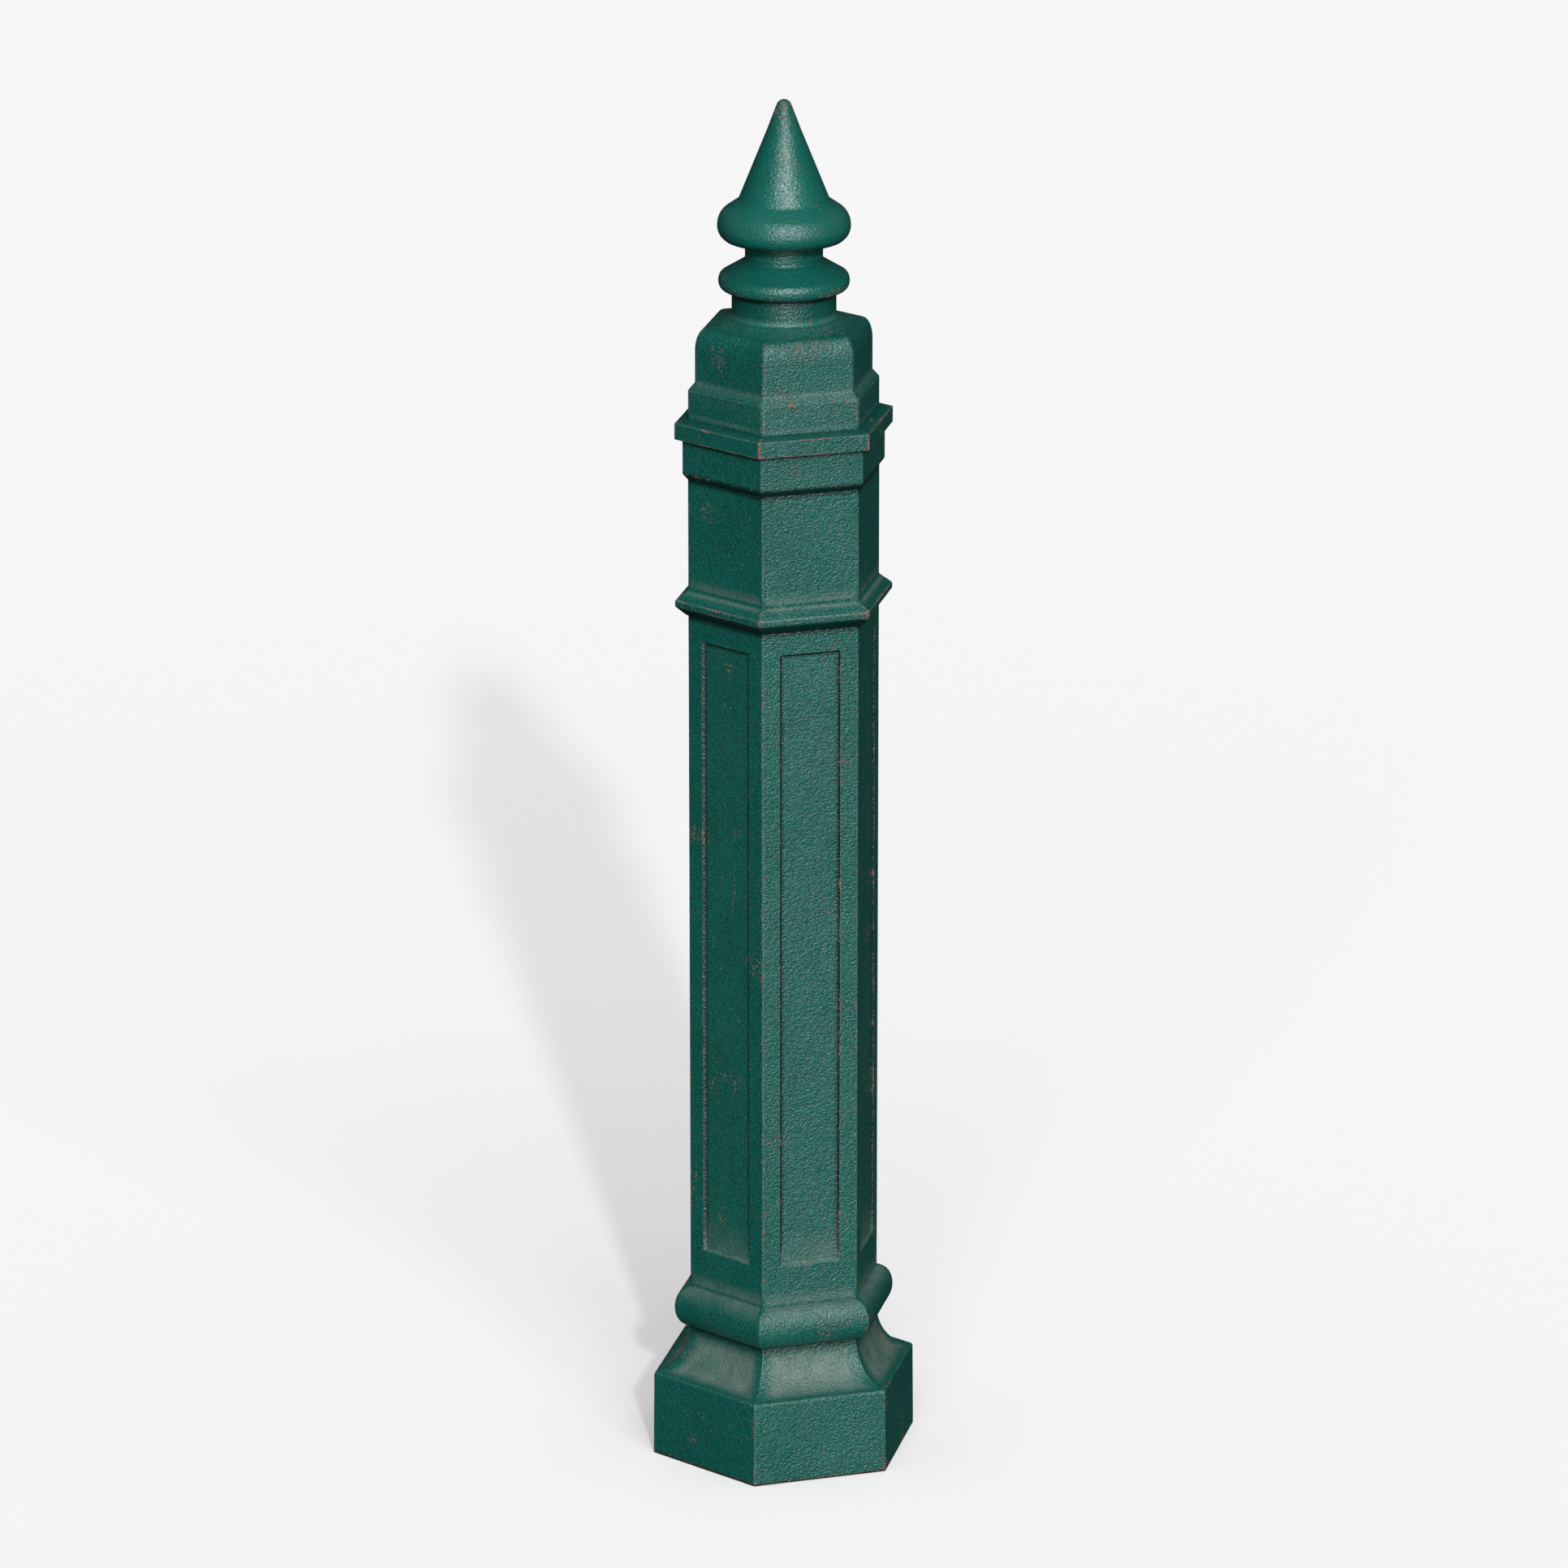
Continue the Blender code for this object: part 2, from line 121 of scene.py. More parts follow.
# Neck and disc
NECK_R = 0.0405
NECK_TOP = 0.9465
UPPER_NECK_R = 0.0302
DISC_CORE_R = 0.0470
DISC_HEIGHT = 0.9560
DISC_RISE = 0.0062
COVE_R = 0.003
COVE_HEIGHT = 0.9745
NECK_GROOVE = (0.0316, 0.0364, 0.0016)
NECK_SPIGOT = (0.0275, 0.0083)
NECK_HOLE_R = 0.0280
NECK_BORE = (0.020, 0.958, 0.966)
NECK_SEAT_MARGIN = 0.0032
ROD_HOLE_R = 0.0110

# Finial
TIP_R = 0.0061
CONE_FOOT = (0.0353, 1.0196)
BULB_CORE_R = 0.0400
BULB_HEIGHT = 0.9993
BULB_RISE = 0.0150
BULB_DROP = 0.0125
BULB_UNDERSIDE = (0.0462, 0.9888)
FINIAL_CAVITY = (0.024, 1.006)
THREAD_BORE = (0.0103, 1.040, 1.044)

# Sunk panels
PANEL_BOTTOM = 0.1724
PANEL_TOP = 0.6751
PANEL_WIDTH = 0.0491
PANEL_DEPTH = 0.0020
PANEL_SLOPE = 0.0014
# Width of the painted shade inside each panel's border.
PANEL_PAINTED_SHADE = 0.0028

# Steel fittings
THREAD_PITCH = 0.0025
THREAD_DEPTH = 0.0015
TOP_THREAD = 0.090
FOOT_THREAD = 0.050
ROD_CHAMFER = 0.0015
NUT_FACE = 0.97  # radius of a nut's flat face, as a share of half its width across flats
STEEL_FILLET = 0.0004

# Mesh grain
GRID = 0.0032
FINE_GRID = 0.0025
PANEL_GRID = 0.0036
SUPPORT = 0.0005  # rows and columns this close to a corner hold its shape
STEP_SIDES = (0.0002, 0.0006)  # rows and columns this far to each side of a step in a panel
SEAM = 0.0001  # fillet where a casting meets the next
INNER_FILLET = 0.0006
ARRIS_ROUND = 0.0011
HEAD_ARRIS_ROUND = 0.0035
ROUND_COLUMNS = 128
SMOOTH_TURN, EDGE_TURN, FILLET_STEP = 14, 24, 18  # degrees
FAR = 30.0  # millimetres from an edge at which nothing more changes

# Unevenness of a sand casting: depth in metres and waves per metre
CAST_DEPTH = 0.00012
CAST_WAVES = 28.0


# ---------------------------------------------------------------- outlines


# The last column is painted shade: how much a point's paint is darkened where shade falls.
R, Z, FILLET, DUST, WEAR, ROUND, INNER, BARE, PAINTED_SHADE = range(9)


def point(r, z, fillet=0.0009, dust=0.0, wear=1.0, round_=0.0, inner=0.0, bare=0.0, grime=0.0):
    """One point of an outline, as a row with the columns named above. bare is how much paint is lost there
    beyond what an edge loses, and round_ goes from 0, hexagonal, to 1, round."""
    return np.array([r, z, fillet, dust, wear, round_, inner, bare, grime])


def arc(centre, radii, start, end, steps, **extra):
    """Points of an ellipse's arc, in degrees."""
    points = []
    for i in range(steps + 1):
        angle = math.radians(start + (end - start) * i / steps)
        r, z = centre[0] + radii[0] * math.cos(angle), centre[1] + radii[1] * math.sin(angle)
        points.append(point(r, z, **extra))
    return points


def marked(points, column, shares):
    """Sets one column of the first points, in order."""
    for share, p in zip(shares, points):
        p[column] = share


def sheltered(r, z):
    """Face that starts under an overhang: painted shade, black at the top, that fades within a few
    millimetres.
    """
    fade = ((0.0, 1.0), (0.0018, 0.85), (0.0042, 0.0))
    return [point(r, z - down, fillet=SEAM, wear=0.3, grime=share) for down, share in fade]


def inside(*pairs, round_=0.0):
    """Points of an outline's hidden inner side, which carry no wear."""
    return [point(r, z, fillet=INNER_FILLET, wear=0.0, inner=1.0, round_=round_) for r, z in pairs]


def rounded(points, closed):
    """Replaces each corner with a small arc. Returns rows, and where the corners and creases are."""
    count = len(points)
    rows, corners, creases = [], [], []
    for i, here in enumerate(points):
        if not closed and i in (0, count - 1):
            rows.append(here)
            continue
        before, after = points[i - 1], points[(i + 1) % count]
        into, out = here[:2] - before[:2], after[:2] - here[:2]
        length_in, length_out = np.hypot(*into), np.hypot(*out)
        into, out = into / length_in, out / length_out
        turn = math.degrees(math.atan2(into[0] * out[1] - into[1] * out[0], into @ out))
        if abs(turn) < SMOOTH_TURN:
            rows.append(here)
            continue
        setback = here[FILLET] * math.tan(math.radians(abs(turn) / 2))
        setback = min(setback, 0.42 * length_in, 0.42 * length_out)
        start, end = here[:2] - into * setback, here[:2] + out * setback
        steps = max(2, math.ceil(abs(turn) / FILLET_STEP))
        middle = len(rows) + steps // 2
        for k in range(steps + 1):
            t = k / steps
            row = here.copy()
            row[:2] = (1 - t) ** 2 * start + 2 * t * (1 - t) * here[:2] + t * t * end
            rows.append(row)
        if abs(turn) > EDGE_TURN and here[INNER] == 0:
            (corners if turn < 0 else creases).append(middle)
    return rows, corners, creases


def refined(rows, corners, creases, closed, grid):
    """Adds rows along the long stretches, with one close to each end of a stretch."""
    fine, moved = [], {}
    count = len(rows)
    for i, here in enumerate(rows):
        moved[i] = len(fine)
        fine.append(here)
        if i == count - 1 and not closed:
            break
        after = rows[(i + 1) % count]
        length = np.hypot(*(after[:2] - here[:2]))
        step = grid if here[INNER] == 0 or after[INNER] == 0 else 6 * grid
        if length < 1.5 * step:
            stops = [] if length < 4 * SUPPORT else [SUPPORT / length, 1 - SUPPORT / length]
        else:
            pieces = math.ceil(length / step)
            stops = [SUPPORT / length] + [k / pieces for k in range(1, pieces)] + [1 - SUPPORT / length]
        fine += [here + (after - here) * t for t in stops]
    return np.array(fine), [moved[i] for i in corners], [moved[i] for i in creases]


def nearest(lengths, marks):
    """Distance in millimetres along the outline from each row to the nearest marked row."""
    if not marks:
        return np.full(len(lengths), FAR)
    gaps = np.abs(lengths[:, None] - lengths[marks][None, :]).min(axis=1)
    return np.minimum(gaps / MM, FAR)


# ---------------------------------------------------------------- sections


def flat_stops(half, spacing, marks=()):
    """Places along one flat, from its middle, at the ends, the spacing and each mark's both sides."""
    pieces = max(2, math.ceil(2 * half / spacing))
    stops = {round(-half + 2 * half * k / pieces, 7) for k in range(pieces + 1)}
    stops |= {round(half - SUPPORT, 7), round(SUPPORT - half, 7)}
    for mark in marks:
        stops = {s for s in stops if abs(abs(s) - mark) > 1.5 * STEP_SIDES[1] or abs(s) >= half - SUPPORT}
        for side in STEP_SIDES:
            stops |= {round(sign * (mark + way * side), 7) for sign in (1, -1) for way in (1, -1)}
    return sorted(stops)


def hexagon_columns(reference, spacing, marks=(), ease=ARRIS_ROUND):
    """(face, share of the half flat or None, corner angle or None) for each column of a rounded hexagon."""
    half = reference / 2 - ease * TAN30
    steps = 4 if ease == ARRIS_ROUND else 8
    columns = []
    for face in range(6):
        columns += [(face, stop / half, None) for stop in flat_stops(half, spacing, marks)]
        columns += [(face, None, 60 * k / steps) for k in range(1, steps)]
    return columns


def hexagon_ring(radius, columns, ease):
    """Points of the rounded hexagon with this corner radius, with each one's distance from the nearest arris
    and its place along its flat."""
    apothem, cut = radius * COS30, ease * TAN30
    half = max(radius / 2 - cut, 1e-5)
    xy, arris, along = [], [], []
    for face, share, angle in columns:
        normal = math.radians(30 + 60 * face)
        nx, ny = math.cos(normal), math.sin(normal)
        if share is not None:
            u = share * half
            xy.append((apothem * nx - u * ny, apothem * ny + u * nx))
            arris.append((half - abs(u)) / MM)
            along.append(u)
            continue
        corner = math.radians(60 * (face + 1))
        reach = radius - ease / COS30
        turn = normal + math.radians(angle)
        x = reach * math.cos(corner) + ease * math.cos(turn)
        y = reach * math.sin(corner) + ease * math.sin(turn)
        xy.append((x, y))
        arris.append(0.0)
        along.append(half)
    return np.array(xy), np.array(arris), np.array(along)


def round_columns(count):
    return [(0, None, 360 * k / count) for k in range(count)]


def section(row, columns, is_round, ease):
    """Points of one row's section, which goes from a hexagon to a circle with the row's roundness."""
    radius, roundness = row[R], row[ROUND]
    if is_round:
        angles = np.radians([c[2] for c in columns]) + math.pi / 2
        xy = radius * np.stack([np.cos(angles), np.sin(angles)], axis=1)
        return xy, np.full(len(columns), FAR), np.zeros(len(columns))
    xy, arris, along = hexagon_ring(radius, columns, ease)
    if roundness > 0:
        circle = xy / np.linalg.norm(xy, axis=1, keepdims=True) * radius
        xy = xy * (1 - roundness) + circle * roundness
        arris = arris + roundness * FAR
    return xy, np.minimum(arris, FAR), along


# ---------------------------------------------------------------- meshes


def swept(name, outline, columns, closed=True, is_round=False, grid=GRID, shape=None, ease=ARRIS_ROUND):
    """A solid swept round Z. shape(xyz, along, values) moves the points, and may change the values."""
    rows, corners, creases = rounded(outline, closed)
    rows, corners, creases = refined(rows, corners, creases, closed, grid)
    steps = np.hypot(*np.diff(rows[:, :2], axis=0).T)
    lengths = np.concatenate([[0], np.cumsum(steps)])
    edge, crease = nearest(lengths, corners), nearest(lengths, creases)
    rings = [section(row, columns, is_round, ease) for row in rows]
    xy, arris, along = (np.array(part) for part in zip(*rings))
    wide = np.ones_like(arris)
    xyz = np.dstack([xy, rows[:, Z:Z + 1] * wide])
    values = {
        "edge": np.minimum(edge[:, None] * wide, arris + rows[:, INNER:INNER + 1] * FAR),
        "crease": crease[:, None] * wide,
        "turned": float(is_round) * wide,
    }
    for key, column in (("dust", DUST), ("wear", WEAR), ("inner", INNER), ("bare", BARE), ("grime", PAINTED_SHADE)):
        values[key] = rows[:, column:column + 1] * wide
    if shape is not None:
        xyz = shape(xyz, along, values)
    return solid(name, xyz, values, closed)


def solid(name, xyz, values, closed):
    """The mesh of a grid of points whose columns close round the axis. An open outline ends in two poles."""
    n_rows, n_columns = xyz.shape[:2]
    points = xyz.reshape(-1, 3)
    index = np.arange(n_rows * n_columns).reshape(n_rows, n_columns)
    if closed:
        index = np.vstack([index, index[:1]])
    right = np.roll(index, -1, axis=1)
    quads = np.stack([index[:-1], index[1:], right[1:], right[:-1]], axis=-1).reshape(-1, 4)
    faces = [tuple(q) for q in quads.tolist()]
    if not closed:
        first, last = index[0, 0], index[-1, 0]
        faces = [trimmed(f, index[0], index[-1], first, last) for f in faces]
    mesh = bpy.data.meshes.new(name)
    mesh.from_pydata(points.tolist(), [], faces)
    for key, value in values.items():
        attribute = mesh.attributes.new(key, "FLOAT", "POINT")
        attribute.data.foreach_set("value", value.reshape(-1).astype(np.float32))
    obj = bpy.data.objects.new(name, mesh)
    bpy.context.scene.collection.objects.link(obj)
    if not closed:
        drop_loose(obj)
    mesh.shade_smooth()
    mesh.validate()
    return obj


def trimmed(face, first_ring, last_ring, first, last):
    """A face at a pole, with the ring's points there made one."""
    ring_start, ring_end = set(first_ring.tolist()), set(last_ring.tolist())
    merged = []
    for v in face:
        v = first if v in ring_start else last if v in ring_end else v
        if v not in merged:
            merged.append(v)
    return tuple(merged)


def drop_loose(obj):
    """Deletes points that no face uses."""
    mesh = obj.data
    used = {v for p in mesh.polygons for v in p.vertices}
    form = bmesh.new()
    form.from_mesh(mesh)
    form.verts.ensure_lookup_table()
    loose = [v for v in form.verts if v.index not in used]
    bmesh.ops.delete(form, geom=loose, context="VERTS")
    form.to_mesh(mesh)
    form.free()


def uneven(obj, amount, scale, seed):
    """Moves the outer surface in and out a little, as a sand casting is uneven."""
    mesh = obj.data
    count = len(mesh.vertices)
    inner, places, normals = np.empty(count), np.empty(count * 3), np.empty(count * 3)
    mesh.attributes["inner"].data.foreach_get("value", inner)
    mesh.vertices.foreach_get("co", places)
    mesh.vertex_normals.foreach_get("vector", normals)
    places, normals = places.reshape(-1, 3), normals.reshape(-1, 3)
    shift = Vector((seed * 1.7, seed * 0.9, seed * 2.3))
    waves = np.array([0.5 + 0.5 * noise.noise(Vector(p) * scale + shift) for p in places])
    places -= normals * (amount * waves * (inner == 0))[:, None]
    mesh.vertices.foreach_set("co", places.reshape(-1))
    mesh.update()
    return obj


# ---------------------------------------------------------------- castings


def spigot(seat):
    top = seat + SPIGOT_HEIGHT
    inner_groove, outer_groove, depth = GROOVE
    return inside(
        (BORE_R, top),
        (SPIGOT_R, top),
        (SPIGOT_R, seat),
        (inner_groove, seat),
        (inner_groove, seat - depth),
        (outer_groove, seat - depth),
        (outer_groove, seat),
    )


def socket(foot, socket_top, slope):
    return inside((SOCKET_R, foot), (SOCKET_R, socket_top), (BORE_R, socket_top + slope))


def swept_rims(xyz, along, values):
    """Thins the dust towards the rims and arrises of the plinth's hollow slope."""
    t = np.clip((values["edge"] - 2.5) / 11.0, 0, 1)
    values["dust"] = values["dust"] * t * t * (3 - 2 * t)
    return xyz


def base_plinth():
    rise = PLINTH_SEAT - PLINTH_TOP
    hollow = arc((PLINTH_R, PLINTH_SEAT), (PLINTH_R - SHAFT_R, rise), 180, 270, 14, dust=1.0, wear=0.4)
    # Painted shade at the top of the hollow slope, right under the torus.
    marked(hollow, PAINTED_SHADE, (1.0, 0.6, 0.2))
    outside = hollow[:-2] + [point(PLINTH_R - 0.0006, PLINTH_TOP, fillet=0.0030, wear=0.6)]
    outside += [point(PLINTH_R, 0.012), point(PLINTH_R, 0.0, fillet=0.0006, wear=0.8, bare=0.5)]
    cavity = inside(
        (CAVITY[0], 0.0),
        (CAVITY[0], CAVITY[1]),
        (PLATE_R, CAVITY[1]),
        (PLATE_R, CAVITY[2]),
        (SOCKET_R, PLINTH_SEAT - WEB_DEPTH),
        (BORE_R, PLINTH_SEAT - WEB_DEPTH + 0.006),
    )
    outline = spigot(PLINTH_SEAT) + outside + cavity
    return swept("plinth_casting", outline, hexagon_columns(PLINTH_R, GRID), shape=swept_rims)


def torus_collar():
    foot = PLINTH_SEAT + JOINT
    middle = (foot + TORUS_SEAT) / 2
    outside = arc((SHAFT_R, middle), (TORUS_R - SHAFT_R, (TORUS_SEAT - foot) / 2), 90, -90, 20, wear=0.35)
    dusty = (0.9, 0.9, 0.8, 0.65, 0.5, 0.35, 0.2, 0.1)
    marked(outside, DUST, dusty)
    marked(outside, WEAR, len(dusty) * (0.0,))
    # Painted shade along the torus's lower side.
    marked(outside[::-1], PAINTED_SHADE, (1.0, 0.9, 0.6, 0.3))
    outline = spigot(TORUS_SEAT) + outside + socket(foot, foot + SOCKET_DEPTH, 0.006)
    return swept("torus_casting", outline, hexagon_columns(TORUS_R, GRID), grid=FINE_GRID)


def eased(distance, slope, depth, bend=0.15):
    """Depth of a sunk panel at a distance in from its border: a slope with both its ends rounded."""
    t = np.clip(distance / slope, -bend, 1 + bend)
    low = np.where(t < bend, (t + bend) ** 2 / (4 * bend), t)
    full = np.where(t > 1 - bend, 1 - (1 + bend - t) ** 2 / (4 * bend), low)
    return depth * np.clip(full, 0, 1)


def sunk_panels(xyz, along, values):
    """Sinks a panel in each face of the shaft, marks the edges that this makes, and paints shade inside the
    panel's sides and top.
    """
    z = xyz[:, :, 2]
    side = PANEL_WIDTH / 2 - np.abs(along)
    end = np.minimum(PANEL_TOP - z, z - PANEL_BOTTOM)
    outer = values["inner"] == 0
    within = np.where(outer, np.minimum(side, end), -1.0)
    faces = (np.arctan2(xyz[:, :, 1], xyz[:, :, 0]) // (math.pi / 3)) * (math.pi / 3) + math.pi / 6
    depth = eased(within, PANEL_SLOPE, PANEL_DEPTH)
    moved = xyz.copy()
    moved[:, :, 0] -= depth * np.cos(faces)
    moved[:, :, 1] -= depth * np.sin(faces)
    border = np.abs(within) / MM
    nearby = (side > -3 * MM) & (end > -3 * MM) & outer
    values["edge"] = np.where(nearby, np.minimum(values["edge"], border), values["edge"])
    foot = np.abs(within - PANEL_SLOPE) / MM
    values["crease"] = np.where(nearby, np.minimum(values["crease"], foot), values["crease"])
    # Painted shade inside the foot of the panel's slope along its sides and top, kept off its bottom.
    into = np.clip((PANEL_SLOPE + PANEL_PAINTED_SHADE - within) / PANEL_PAINTED_SHADE, 0, 1)
    above_sill = np.clip((z - PANEL_BOTTOM - 3 * MM) / (10 * MM), 0, 1)
    values["grime"] = np.where(within > 0.1 * MM, into * above_sill, values["grime"])
    low = np.clip(1 - (z - PANEL_BOTTOM) / (30 * MM), 0, 1)
    values["dust"] = np.where(within > 0.5 * MM, 0.03 + 0.55 * low, values["dust"])
    return moved


def panelled_shaft():
    foot = TORUS_SEAT + JOINT
    steps = (0, PANEL_SLOPE, PANEL_SLOPE + PANEL_PAINTED_SHADE)
    marks = [PANEL_TOP - step for step in steps] + [PANEL_BOTTOM + step for step in steps[::-1]]
    near, far = STEP_SIDES
    marks = [z + side for z in marks for side in (far, near, -near, -far)]
    outside = sheltered(SHAFT_R, SHAFT_SEAT) + [point(SHAFT_R, z) for z in marks]
    outside += [point(SHAFT_R, foot + 0.013), point(SHAFT_R, foot, fillet=SEAM, dust=0.9, wear=0.0)]
    outline = spigot(SHAFT_SEAT) + outside + socket(foot, SHAFT_SEAT - WEB_DEPTH, 0.006)
    half = PANEL_WIDTH / 2
    columns = hexagon_columns(SHAFT_R, PANEL_GRID, [half - step for step in steps])
    return swept("shaft_casting", outline, columns, grid=PANEL_GRID, shape=sunk_panels)


def arris_moulding():
    foot = SHAFT_SEAT + JOINT
    low, high = ARRIS_LIP
    bend_r, bend_z = SHAFT_R + 2.5 * MM, ARRIS_SEAT - 2.2 * MM
    out, down = MOULDING_R - 3.0 * MM - bend_r, bend_z - high - 2.5 * MM
    inner_r, inner_z = SHAFT_R + 2.0 * MM, foot + 1.1 * MM
    outside = [
        point(SHAFT_R, ARRIS_SEAT, fillet=SEAM, dust=1.0, wear=0.0),
        point(bend_r, bend_z, fillet=0.004, dust=0.9),
        point(bend_r + 0.4 * out, bend_z - 0.4 * down, dust=0.2),
        point(bend_r + 0.7 * out, bend_z - 0.7 * down),
        point(MOULDING_R, high, fillet=0.0024, wear=1.6),
        # Painted shade under the lip, down to the shaft.
        point(MOULDING_R, low, fillet=0.0026, wear=1.2, grime=0.2),
        point(0.7 * MOULDING_R + 0.3 * inner_r, 0.7 * low + 0.3 * inner_z, wear=0.6, grime=0.9),
        point(inner_r, inner_z, wear=0.2, grime=1.0),
        point(SHAFT_R, foot, fillet=SEAM, wear=0.0, grime=1.0),
    ]
    outline = spigot(ARRIS_SEAT) + outside + socket(foot, foot + SOCKET_DEPTH, 0.004)
    return swept("arris_casting", outline, hexagon_columns(MOULDING_R, GRID), grid=FINE_GRID)


def upper_shaft():
    foot = ARRIS_SEAT + JOINT
    outside = sheltered(SHAFT_R, UPPER_SEAT)
    outside += [point(SHAFT_R, foot + 0.010), point(SHAFT_R, foot, fillet=SEAM, dust=0.9, wear=0.0)]
    outline = spigot(UPPER_SEAT) + outside + socket(foot, UPPER_SEAT - WEB_DEPTH, 0.006)
    return swept("upper_shaft_casting", outline, hexagon_columns(SHAFT_R, GRID))


def capital_band():
    foot = UPPER_SEAT + JOINT
    outside = [
        # Painted shade in the crease under the head, and under the band down to the shaft.
        point(SHAFT_R, CAPITAL_SEAT, fillet=SEAM, wear=0.0, grime=0.45),
        point(MOULDING_R, FLANGE_TOP, fillet=0.0008, wear=1.8),
        point(MOULDING_R, BAND_TOP, fillet=0.0008, wear=1.8),
        *sheltered(BAND_R, BAND_TOP),
        point(BAND_R, BAND_CHAMFER + 0.0024, wear=0.7),
        point(BAND_R, BAND_CHAMFER, fillet=0.0030, wear=0.7, grime=0.8),
        point((BAND_R + SHAFT_R) / 2, (BAND_CHAMFER + foot) / 2, wear=0.3, grime=1.0),
        point(SHAFT_R, foot, fillet=SEAM, wear=0.0, grime=1.0),
    ]
    outline = spigot(CAPITAL_SEAT) + outside + socket(foot, CAPITAL_SEAT - WEB_DEPTH, 0.006)
    return swept("capital_casting", outline, hexagon_columns(MOULDING_R, GRID), grid=FINE_GRID)


def head_block():
    foot = CAPITAL_SEAT + JOINT
    seat_r, roof = NECK_R + NECK_SEAT_MARGIN, HEAD_SEAT - HEAD_WALL
    shoulder = arc((CROWN_R, SHOULDER), (HEAD_R - CROWN_R, CROWN_TOP - SHOULDER), 90, 0, 12, wear=0.5)
    outside = []
    for t in (1.0, 0.8, 0.6, 0.4, 0.2):
        r, z = CROWN_R + t * (seat_r - CROWN_R), CROWN_TOP + t**1.7 * (HEAD_SEAT - CROWN_TOP)
        outside.append(point(r, z, dust=0.12 * t, round_=t, wear=0.0))
    outside += shoulder
    outside += [
        point(HEAD_R, LEDGE_CHAMFER + 0.003),
        # Part dust, part painted highlight on the ledge chamfer.
        point(HEAD_R, LEDGE_CHAMFER, fillet=0.0025, dust=0.35, wear=0.0),
        point(SHAFT_R, LEDGE_TOP, fillet=0.0015, dust=0.1, wear=0.9),
        point(SHAFT_R, foot + 0.006),
        point(SHAFT_R, foot, fillet=SEAM, dust=0.8, wear=0.0),
    ]
    hollow = inside(
        (SOCKET_R, foot),
        (SOCKET_R, foot + SOCKET_DEPTH),
        (HEAD_R - HEAD_WALL, LEDGE_TOP),
        (HEAD_R - HEAD_WALL, SHOULDER - 0.006),
        (HEAD_ROOF_R, roof),
    )
    outline = inside((NECK_HOLE_R, HEAD_SEAT), round_=1.0) + outside + hollow
    outline += inside((NECK_HOLE_R, roof), round_=1.0)
    columns = hexagon_columns(SHAFT_R, GRID, ease=HEAD_ARRIS_ROUND)
    return swept("head_casting", outline, columns, grid=FINE_GRID, ease=HEAD_ARRIS_ROUND)


def neck_disc():
    """Turned neck with a disc. Paint is lost along the disc's lower rim."""
    foot = HEAD_SEAT + JOINT
    # Painted shade on the cove under the bulb, under the disc's rim, down the throat and on the neck.
    cove = arc((UPPER_NECK_R + COVE_R, COVE_HEIGHT), (COVE_R, COVE_R), 180, 230, 6, wear=0.0, grime=0.3)
    rim = arc((DISC_CORE_R, DISC_HEIGHT), (DISC_R - DISC_CORE_R, DISC_RISE), 70, -90, 18)
    marked(rim[8:], BARE, 11 * (0.9,))
    marked(rim, PAINTED_SHADE, 5 * (0.2,))
    marked(rim[::-1], PAINTED_SHADE, (1.0, 1.0, 1.0, 0.9, 0.7, 0.4, 0.15))
    throat = arc((NECK_R + COVE_R, NECK_TOP), (COVE_R, COVE_R), 100, 180, 6, wear=0.0, grime=1.0)
    apron = arc((NECK_R + COVE_R, foot + COVE_R), (COVE_R, COVE_R), 180, 262, 6, wear=0.0, dust=0.35)
    outline = [point(UPPER_NECK_R, DISC_SEAT, fillet=0.0003, wear=0.0)] + cove
    outline += [point(UPPER_NECK_R + 0.007, COVE_HEIGHT - 0.006, wear=0.0, grime=0.2)] + rim + throat
    outline += [point(NECK_R, NECK_TOP - 0.0024, wear=0.0, grime=0.5)]
    outline += [point(NECK_R, foot + 0.006, wear=0.0, grime=0.4)] + apron
    groove_in, groove_out, depth = NECK_GROOVE
    outline += inside((groove_out, foot), (groove_out, foot + depth))
    outline += inside((groove_in, foot + depth), (groove_in, foot))
    spigot_r, reach = NECK_SPIGOT
    bore_r, shoulder, throat_z = NECK_BORE
    outline += inside((spigot_r, foot), (spigot_r, foot - reach), (bore_r, foot - reach), (bore_r, shoulder))
    outline += inside((ROD_HOLE_R, throat_z), (ROD_HOLE_R, DISC_SEAT))
    return swept("neck_casting", outline, round_columns(ROUND_COLUMNS), is_round=True, grid=FINE_GRID)


